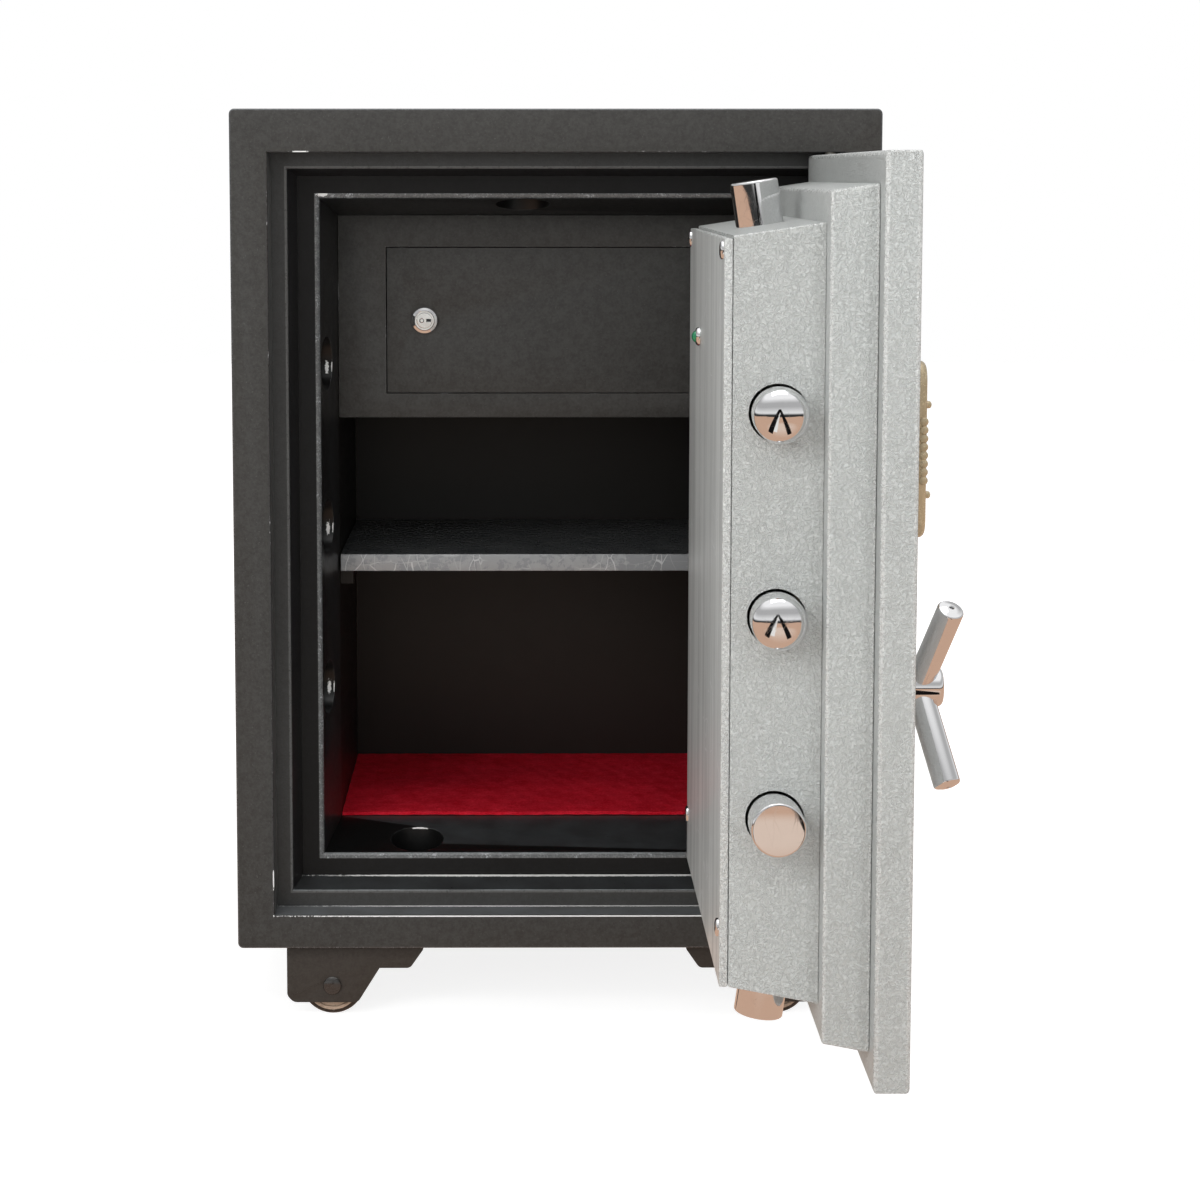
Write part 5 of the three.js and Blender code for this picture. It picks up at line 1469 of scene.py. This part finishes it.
@dataclass
class Door:
    """The door's plate, plug, bolt box and cover, swung open by a quarter turn."""

    plate_round: float = 0.0012
    plug_round: float = 0.0018
    box_round: float = 0.0009
    bore_facet: float = 0.015
    cover_round: float = 0.0011
    cover_drop: float = 0.0016
    screw_radius: float = 0.0058
    screw_inset: float = 0.009
    screw_low_inset: float = 0.036
    screw_rise: float = 0.0024
    screw_steps: int = 6
    screw_sides: int = 32
    recess_width: float = 0.0013
    recess_reach: float = 0.0033
    recess_depth: float = 0.0013
    button_radius: float = 0.004
    button_reach: float = 1.12
    button_steps: int = 8
    button_play: float = 0.0003
    button_sides: int = 40
    bezel_radius: float = 0.0064
    bezel_sides: int = 48

    def build(self) -> None:
        """Builds and dresses the door."""
        for node, name, width in (("door_plate", "door_slab", self.plate_round),
                                  ("door_plug", "door_step", self.plug_round),
                                  ("bolt_box", "bolt_case", self.box_round)):
            piece = Bench.from_node(node, name)
            Bench.round_edges(piece, width, 3, self.off_bores, worn=True, sharpness=40)
            Bench.smooth(piece, FOLD_ANGLE)
            Dressing.finish(piece, "door", "hammered_paint", HAMMERED, HAMMERED_RUBBED, replaces=[node])
        self.cover()
        self.button()

    def off_bores(self, edge: bmesh.types.BMEdge) -> bool:
        """Whether an edge is a long one of a door block, and not a facet of a bore."""
        return edge.calc_length() > self.bore_facet

    def cover(self) -> None:
        """Builds the cover sheet with its button hole, and its four screws."""
        low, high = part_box("cover_plate")
        slab_low = low + Vector((self.screw_rise, 0, 0))
        cover = Bench.block("cover_sheet", slab_low, high - Vector((0, 0, self.cover_drop)))
        Bench.round_edges(cover, self.cover_round, 3, lambda edge: True)
        centre = seat("reset_button")
        hole = self.button_radius + self.button_play
        bore = Bench.turned("bore", [(hole, -0.02), (hole, 0.02)], self.button_sides)
        Bench.settle(bore, centre, INTO_CAVITY)
        Bench.cut(cover, [bore])
        Bench.mark_faces(cover, 1, lambda face: max(abs(face.normal.y), abs(face.normal.z)) > 0.5
                         and (face.calc_center_median() - centre).length > 2 * self.bezel_radius)
        Bench.smooth(cover, FOLD_ANGLE)
        Dressing.finish(cover, "door", "cover_steel", COVER_SHEET, HAMMERED_RUBBED, replaces=["cover_plate"])
        screw = self.screw()
        for side, y in (("free", low.y + self.screw_inset), ("hinge", high.y - self.screw_inset)):
            for end, z in (("low", low.z + self.screw_low_inset), ("high", high.z - self.screw_inset)):
                copy = Bench.another(screw, f"cover_screw_{side}_{end}", Vector((slab_low.x, y, z)))
                Dressing.finish(copy, "door", "chrome", CHROME)
        bpy.data.objects.remove(screw)

    def screw(self) -> bpy.types.Object:
        """Turns a pan-headed screw and cuts its cross recess.

        Returns:
            The screw, at the origin.
        """
        dome = [(self.screw_radius * math.cos(a) ** 0.7, self.screw_rise * (0.35 + 0.65 * math.sin(a)))
                for a in quarter(self.screw_steps)]
        head = Bench.turned("screw", [(self.screw_radius, -0.001), *dome, (0.0005, self.screw_rise)],
                            self.screw_sides)
        floor = self.screw_rise - self.recess_depth
        arms = [Bench.block("arm", Vector((-along, -across, floor)), Vector((along, across, 0.01)))
                for along, across in ((self.recess_reach, self.recess_width / 2),
                                      (self.recess_width / 2, self.recess_reach))]
        Bench.cut(head, arms)
        Bench.settle(head, Vector(), INTO_CAVITY)
        return Bench.smooth(head)

    def button(self) -> None:
        """Builds the green button and the ring round it."""
        low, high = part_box("reset_button")
        rise = (high.x - low.x) * self.button_reach
        shoulder = rise - self.button_radius * 0.75
        dome = [(self.button_radius * math.cos(a), shoulder + (rise - shoulder) * math.sin(a))
                for a in quarter(self.button_steps)]
        button = Bench.turned("green_button", [(self.button_radius, 0), *dome, (0.0003, rise)],
                              self.button_sides)
        Bench.settle(button, seat("reset_button", OUT_OF_DOOR), INTO_CAVITY)
        Dressing.finish(Bench.smooth(button), "reset_button", "green_plastic", GREEN, replaces=["reset_button"])

        low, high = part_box("button_bezel")
        proud, bore = high.x - low.x, self.button_radius + self.button_play
        ring = Bench.turned("button_ring", [
            (self.bezel_radius, 0), (self.bezel_radius, proud * 0.3), (self.bezel_radius - 0.0003, proud * 0.62),
            (self.bezel_radius - 0.0009, proud * 0.9), (self.bezel_radius - 0.0015, proud), (bore + 0.0003, proud),
            (bore, proud - 0.0003), (bore, 0.0001)], self.bezel_sides)
        Bench.settle(ring, seat("button_bezel", OUT_OF_DOOR), INTO_CAVITY)
        Dressing.finish(Bench.smooth(ring), "door", "chrome", CHROME, replaces=["button_bezel"])


@dataclass
class BoltWork:
    """The five chrome bolts and the zinc gear inside the bolt box."""

    radius: float = 0.017
    dome: float = 0.0092
    rim: float = 0.0016
    crown: float = 0.0005
    steps: int = 10
    sides: int = 96
    crease: float = 40
    end_radius: float = 0.0157
    end_reach: float = 0.0295
    end_tail: float = 0.0246
    line_depth: float = 0.07915
    box_half_height: float = 0.2378
    top_y: float = -0.4344
    bottom_y: float = -0.5174
    lean: float = math.atan2(0.0083, 0.0555)

    def build(self) -> None:
        """Builds and dresses the bolts."""
        for place, round_tip in (("top", True), ("middle", True), ("bottom", False)):
            self.side_bolt(place, round_tip)
        self.end_bolt("top", 1, self.top_y)
        self.end_bolt("bottom", -1, self.bottom_y)
        Dressing.repaint(ZINC, "drive_disc", "bolt_bar", "top_link", "bottom_link")

    def tip(self, radius: float, length: float) -> Profile:
        """Gives the profile of a bolt with a rounded rim and a faint crown at its tip.

        Args:
            radius: the bolt's radius.
            length: its length.

        Returns:
            Pairs of radius and height.
        """
        flat, top = radius - self.rim, length - self.crown
        crown = [(flat * share, top + self.crown * (1 - share * share)) for share in (0.8, 0.6, 0.4, 0.2, 0.03)]
        return [(radius, 0), *corner(radius, top, self.rim, self.steps), *crown]

    def domed(self, length: float) -> Profile:
        """Gives the profile of a bolt with a full dome.

        Args:
            length: the bolt's length.

        Returns:
            Pairs of radius and height.
        """
        dome = [(self.radius * math.cos(a), length - self.dome * (1 - math.sin(a)))
                for a in quarter(2 * self.steps)]
        return [(self.radius, 0), *dome, (0.0004, length)]

    def side_bolt(self, place: str, round_tip: bool) -> None:
        """Turns one side bolt, domed or flat at its tip.

        Args:
            place: top, middle or bottom.
            round_tip: whether its tip is a full dome.
        """
        node = f"side_bolt_{place}"
        low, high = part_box(node)
        length = high.y - low.y
        profile = self.domed(length) if round_tip else self.tip(self.radius, length)
        bolt = Bench.turned(f"locking_bolt_{place}", profile, self.sides)
        Bench.settle(bolt, seat(node, -FREE_EDGE), FREE_EDGE)
        Dressing.finish(Bench.smooth(bolt, self.crease), "side_bolts", "chrome", CHROME, replaces=[node])

    def end_bolt(self, place: str, side: int, y: float) -> None:
        """Turns one leaning bolt of the door's top or bottom edge, with the stem behind it.

        Args:
            place: top or bottom.
            side: 1 for the top edge, -1 for the bottom one.
            y: its place along the edge.
        """
        node = f"{place}_bolt"
        way = Vector((-math.sin(self.lean), 0, side * math.cos(self.lean)))
        root = Vector((DOOR_FACE_X - self.line_depth, y, DOOR_CENTRE_Z + side * self.box_half_height))
        length = self.end_reach + self.end_tail
        bolt = Bench.turned(f"locking_bolt_{place}_end", self.tip(self.end_radius, length), self.sides)
        Bench.settle(bolt, root + way * (self.end_reach - length), way)
        Dressing.finish(Bench.smooth(bolt, self.crease), node, "chrome", CHROME, replaces=[node])


@dataclass
class Handle:
    """The hub and its three leaning spokes."""

    hub_radius: float = 0.0125
    hub_foot: float = 0.0006
    hub_round: float = 0.0035
    hub_ring: float = 0.0065
    hub_well: float = 0.0058
    spoke_radius: float = 0.0085
    spoke_start: float = 0.007
    spoke_length: float = 0.0675
    spoke_count: int = 3
    root_rise: float = 0.0145
    tip_rise: float = 0.030
    end_round: float = 0.0016
    end_dome: float = 0.0014
    hole_radius: float = 0.0013
    hole_rim: float = 0.0005
    hole_depth: float = 0.004
    first_angle: float = 58.5
    steps: int = 6
    sides: int = 64

    def build(self) -> None:
        """Builds and dresses the handle."""
        low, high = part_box("handle_hub")
        centre = seat("handle_hub", -OUT_OF_DOOR)
        proud = high.x - low.x
        floor = proud - self.hub_foot
        hub = Bench.turned("handle_boss", [
            (self.hub_radius - self.hub_foot, 0), (self.hub_radius, self.hub_foot),
            *corner(self.hub_radius, proud, self.hub_round, self.steps), (self.hub_ring, proud - 0.0001),
            (self.hub_well, floor), (0.0006, floor)], self.sides)
        Bench.settle(hub, centre, OUT_OF_DOOR)
        Dressing.finish(Bench.smooth(hub), "handle", "chrome", CHROME, replaces=["handle_hub"])
        for index in range(self.spoke_count):
            self.spoke(index, centre)

    def spoke(self, index: int, centre: Vector) -> None:
        """Turns one spoke, seats it in the hub and leaves a small hole in its end.

        Args:
            index: which spoke, from 0.
            centre: the foot of the hub.
        """
        angle = math.radians(self.first_angle + 360 / self.spoke_count * index)
        across = Vector((0, -math.cos(angle), math.sin(angle))) * self.spoke_length
        way = (across + OUT_OF_DOOR * (self.tip_rise - self.root_rise)).normalized()
        root = Vector((DOOR_FACE_X + self.root_rise, centre.y, centre.z))
        end, radius, hole = self.spoke_length, self.spoke_radius, self.hole_radius
        spoke = Bench.turned(f"handle_arm_{index + 1}", [
            (radius, self.spoke_start), *corner(radius, end - self.end_dome, self.end_round, self.steps),
            (radius * 0.6, end - self.end_dome * 0.45), (radius * 0.35, end - self.end_dome * 0.1),
            (hole + self.hole_rim, end), (hole, end - self.hole_rim), (hole, end - self.hole_depth)],
            self.sides)
        Bench.settle(spoke, root, way)
        Dressing.finish(Bench.smooth(spoke), "handle", "chrome", CHROME, replaces=[f"handle_spoke_{index + 1}"])


@dataclass
class Keypad:
    """The moulded housing with ribbed grips, four pips and twelve blank keys."""

    thickness: float = 0.014
    corner: float = 0.012
    front_round: float = 0.0035
    pocket_half_width: float = 0.0335
    pocket_margin: float = 0.0035
    pocket_corner: float = 0.004
    pocket_depth: float = 0.0008
    rib_pitch: float = 0.0052
    rib_count: int = 8
    rib_radius: float = 0.0028
    rib_length: float = 0.0119
    pip_radius: float = 0.0023
    pip_rise: float = 0.0036
    pip_spread: float = 0.028
    pip_inset: float = 0.009
    key_count: int = 12
    key_round: float = 0.0028
    key_crown: float = 0.0009
    key_gap: float = 0.0004
    key_room: float = 0.0021
    tip_steps: int = 6
    sides: int = 24

    def build(self) -> None:
        """Builds and dresses the keypad."""
        low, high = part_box("keypad_housing")
        side, face = self.rib_radius * 0.5, low.x + self.thickness
        y_low, y_high = low.y + side, high.y - side
        middle = (y_low + y_high) / 2
        case = Bench.block("keypad_case", Vector((low.x, y_low, low.z)), Vector((face, y_high, high.z)))
        Bench.round_edges(case, self.corner, 8, self.runs_out(0.01))
        Bench.round_edges(case, self.front_round, 5, Bench.all_verts(lambda co: co.x > face - 0.0001))
        boxes = [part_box(f"keypad_key_{number}") for number in range(1, self.key_count + 1)]
        bottom = min(key_low.z for key_low, _ in boxes) - self.pocket_margin
        top = max(key_high.z for _, key_high in boxes) + self.pocket_margin
        pocket = Bench.block("pocket", Vector((face - self.pocket_depth, middle - self.pocket_half_width, bottom)),
                             Vector((face + 0.01, middle + self.pocket_half_width, top)))
        Bench.round_edges(pocket, self.pocket_corner, 6, self.runs_out(0.008))
        below = Vector((self.key_room, self.key_gap, self.key_gap))
        above = Vector((0.01, self.key_gap, self.key_gap))
        wells = [Bench.block("well", key_low - below, key_high + above) for key_low, key_high in boxes]
        Bench.cut(case, [pocket, *wells])
        Bench.smooth(case, FOLD_ANGLE)
        Dressing.finish(case, "door", "gold_housing", GOLD, replaces=["keypad_housing"])
        self.grips(Vector((face, middle, (low.z + high.z) / 2)), (y_high - y_low) / 2)
        self.keys()

    @staticmethod
    def runs_out(least: float) -> Callable:
        """Makes a test for edges that run out of the door over at least a length."""
        return lambda edge: abs((edge.verts[0].co - edge.verts[1].co).x) > least

    def grips(self, centre: Vector, half_width: float) -> None:
        """Lays the ribs of both grips and the pips above and below them.

        Args:
            centre: the middle of the keypad's face.
            half_width: half the width of its case.
        """
        radius = self.rib_radius
        tip = [(radius * math.cos(a), self.rib_length + radius * 0.5 * math.sin(a))
               for a in quarter(self.tip_steps)]
        pip_tip = [(self.pip_radius * math.cos(a), self.pip_rise - self.pip_radius * 0.7 * (1 - math.sin(a)))
                   for a in quarter(self.tip_steps)]
        parts = []
        for side in (-1, 1):
            way = Vector((0, side, 0))
            edge = centre + way * half_width
            for index in range(self.rib_count):
                rise = (index - (self.rib_count - 1) / 2) * self.rib_pitch
                rib = Bench.turned("rib", [(radius * 0.9, 0), *tip, (0.0002, self.rib_length + radius * 0.5)],
                                   self.sides)
                Bench.settle(rib, edge - way * self.rib_length + Vector((-radius * 0.8, 0, rise)), way)
                parts.append(rib)
            for end in (-1, 1):
                pip = Bench.turned("pip", [(self.pip_radius, -0.003), *pip_tip, (0.0002, self.pip_rise)],
                                   self.sides)
                Bench.settle(pip, edge - way * self.pip_inset + UP * end * self.pip_spread, OUT_OF_DOOR)
                parts.append(pip)
        grips = Bench.join("keypad_grips", parts)
        Dressing.finish(Bench.smooth(grips), "door", "gold_housing", GOLD)

    def keys(self) -> None:
        """Models one key with round corners and a soft crown, and sets a copy in each well."""
        low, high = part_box("keypad_key_1")
        half = (high - low) / 2
        key = Bench.block("key", -half, half)
        Bench.round_edges(key, self.key_round, 5, self.runs_out(0.003))
        Bench.round_edges(key, self.key_crown, 4, Bench.all_verts(lambda co: co.x > half.x - 0.0001))
        for number in range(1, self.key_count + 1):
            node = f"keypad_key_{number}"
            copy = Bench.another(key, f"keypad_button_{number}", seat(node))
            Dressing.finish(Bench.smooth(copy), node, "key_rubber", KEY_RUBBER, replaces=[node])
        bpy.data.objects.remove(key)


@dataclass
class Studio:
    """A pale floor, soft lamps and the cards that bright metal mirrors."""

    floor_z: float = -0.0568
    floor_size: float = 14
    floor_glow: float = 0.84
    world_light: float = 0.3
    peach: Colour = shade(204, 169, 146)
    pale_peach: Colour = shade(224, 202, 186)
    pale_spot: Place = (0.2, -1.6, 0.0)
    dark: Colour = shade(24, 22, 22)
    pale: Colour = shade(238, 236, 232)
    legs_top: Place = (0.07, -2.2, 0.83)

    def build(self) -> None:
        """Sets up the studio."""
        self.floor()
        self.world()
        self.lamp("key_lamp", (-1.6, -2.4, 1.5), (1.6, 1.6), 35)
        self.lamp("top_lamp", (0.0, -0.6, 2.6), (1.6, 1.6), 12, mirrored=True)
        self.lamp("front_top_lamp", (0.1, -2.6, 2.2), (2.0, 0.5), 10)
        self.lamp("fill_lamp", (-0.2, -3.4, 0.9), (1.2, 1.2), 12)
        self.lamp("reveal_lamp", (0.95, -2.8, 0.7), (0.3, 2.0), 8)
        self.lamp("back_lamp", (0.6, 2.2, 1.6), (1.6, 1.6), 15)
        self.lamp("side_lamp", (2.4, -0.8, 1.2), (1.4, 1.4), 12)
        self.leg("dark_leg_left", -0.16, -0.95, 0.17, self.dark)
        self.leg("pale_leg", -0.03, -1.1, 0.12, self.pale)
        self.leg("dark_leg_right", 0.37, -0.95, 0.13, self.dark)

    def floor(self) -> None:
        """Lays a floor that looks white and keeps the safe's shadow."""
        bpy.ops.mesh.primitive_plane_add(size=self.floor_size, location=(0, 0, self.floor_z))
        floor = bpy.context.object
        floor.name = "studio_floor"
        made = bpy.data.materials.new("studio floor")
        wires = Wiring.of(made)
        path = wires.add("ShaderNodeLightPath")
        plain = wires.add("ShaderNodeBsdfDiffuse", {"Color": (0.9, 0.9, 0.9, 1)})
        spot = wires.spot()
        faint = wires.add("ShaderNodeBsdfDiffuse", {"Color": (0.45, 0.45, 0.45, 1)})
        shine = wires.spread(wires.vector_sum("LENGTH", spot), 0.5, 1.6, self.floor_glow, 1.0)
        glow = wires.add("ShaderNodeEmission", {"Color": (1, 1, 1, 1), "Strength": shine})
        white = wires.add("ShaderNodeAddShader", {0: faint.outputs[0], 1: glow.outputs[0]})
        off = wires.vector_sum("DISTANCE", spot, self.pale_spot)
        tint = wires.mix(wires.spread(off, 0.3, 0.8), self.pale_peach, self.peach)
        mirrored = wires.add("ShaderNodeEmission", {"Color": tint, "Strength": 1.0})
        lit = wires.add("ShaderNodeMixShader", {0: path.outputs["Is Camera Ray"], 1: plain.outputs[0],
                                                2: white.outputs[0]})
        both = wires.add("ShaderNodeMixShader", {0: path.outputs["Is Glossy Ray"], 1: lit.outputs[0],
                                                 2: mirrored.outputs[0]})
        wires.add("ShaderNodeOutputMaterial", {"Surface": both.outputs[0]})
        floor.data.materials.append(made)

    def world(self) -> None:
        """Gives the world a white look and a soft light."""
        world = bpy.data.worlds.new("studio world")
        bpy.context.scene.world = world
        wires = Wiring.of(world)
        path = wires.add("ShaderNodeLightPath")
        seen = wires.sum("MAXIMUM", path.outputs["Is Camera Ray"], path.outputs["Is Transmission Ray"])
        way = wires.add("ShaderNodeSeparateXYZ", {0: wires.add("ShaderNodeTexCoord").outputs["Generated"]})
        low_sky = wires.spread(way.outputs["Z"], 0.01, 0.08, 0.04, 0.8)
        dip = wires.spread(way.outputs["Z"], 0.12, 0.34, 0.0, 0.34)
        high_sky = wires.spread(way.outputs["Z"], 0.52, 0.74, 0.0, 0.52)
        sky = wires.sum("ADD", wires.sum("SUBTRACT", low_sky, dip), high_sky)
        mirrored = wires.sum("MULTIPLY", path.outputs["Is Glossy Ray"], sky)
        plain = wires.sum("MULTIPLY", wires.sum("SUBTRACT", 1.0, path.outputs["Is Glossy Ray"]), self.world_light)
        strength = wires.sum("MAXIMUM", wires.sum("MAXIMUM", seen, mirrored), plain)
        light = wires.add("ShaderNodeBackground", {"Color": (1, 1, 1, 1), "Strength": strength})
        wires.add("ShaderNodeOutputWorld", {"Surface": light.outputs[0]})

    @staticmethod
    def lamp(name: str, at: Place, size: tuple[float, float], power: float, mirrored: bool = False) -> None:
        """Hangs a soft lamp that looks at the safe; bright metal shows only the mirrored ones.

        Args:
            name: its name.
            at: its place.
            size: its width and height.
            power: its power in watts.
            mirrored: whether bright metal shows it.
        """
        data = bpy.data.lights.new(name, "AREA")
        data.shape = "RECTANGLE"
        data.size, data.size_y = size
        data.energy = power
        lamp = bpy.data.objects.new(name, data)
        bpy.context.scene.collection.objects.link(lamp)
        lamp.location = at
        lamp.rotation_euler = (Vector((0, -0.1, 0.3)) - Vector(at)).to_track_quat("-Z", "Y").to_euler()
        lamp.visible_camera = False
        lamp.visible_glossy = mirrored

    def leg(self, name: str, x: float, y: float, width: float, colour: Colour) -> None:
        """Leans a strip card, which only bright metal shows, from a place on the floor to the legs' top.

        Args:
            name: its name.
            x: where its foot stands across.
            y: where its foot stands along.
            width: its width.
            colour: its colour.
        """
        foot, top = Vector((x, y, self.floor_z)), Vector(self.legs_top)
        bpy.ops.mesh.primitive_plane_add(size=1, location=(foot + top) / 2)
        card = bpy.context.object
        card.name = name
        card.scale = (width, (top - foot).length, 1)
        card.rotation_euler = (top - foot).to_track_quat("Y", "Z").to_euler()
        made = bpy.data.materials.new(name)
        wires = Wiring.of(made)
        glow = wires.add("ShaderNodeEmission", {"Color": colour, "Strength": 1.0})
        wires.add("ShaderNodeOutputMaterial", {"Surface": glow.outputs[0]})
        card.data.materials.append(made)
        card.visible_camera = card.visible_diffuse = card.visible_shadow = card.visible_transmission = False


@dataclass
class Viewpoint:
    """The photograph's viewing angle: slightly above the safe's top, left of its middle."""

    place: Place = (-0.02909, -2.20053, 0.58139)
    pitch: float = 0.10365
    turn: float = -0.00435
    sensor: float = 36
    focal_share: float = 2686.43 / 1200
    shift_across: float = 0.06
    shift_up: float = -0.12

    def build(self) -> None:
        """Sets up the camera."""
        data = bpy.data.cameras.new("camera")
        data.sensor_width = self.sensor
        data.lens = self.sensor * self.focal_share
        data.shift_x = self.shift_across
        data.shift_y = self.shift_up
        data.dof.use_dof = False
        camera = bpy.data.objects.new("camera", data)
        bpy.context.scene.collection.objects.link(camera)
        camera.location = self.place
        camera.rotation_euler = (math.pi / 2 - self.pitch, 0, self.turn)
        bpy.context.scene.camera = camera


def main() -> None:
    """Builds the safe's sub-assemblies in order, then the studio and the camera."""
    logging.basicConfig(level=logging.INFO, format="%(name)s: %(message)s")
    bpy.ops.object.select_all(action="DESELECT")
    Viewpoint().build()
    for kind in (Cabinet, Locker, ShelfAndMat, Castors, Door, BoltWork, Handle, Keypad, Studio):
        kind().build()
        log.info("%s is done", kind.__name__)
    bpy.context.scene.view_settings.view_transform = "Standard"


if __name__ == "__main__":
    main()
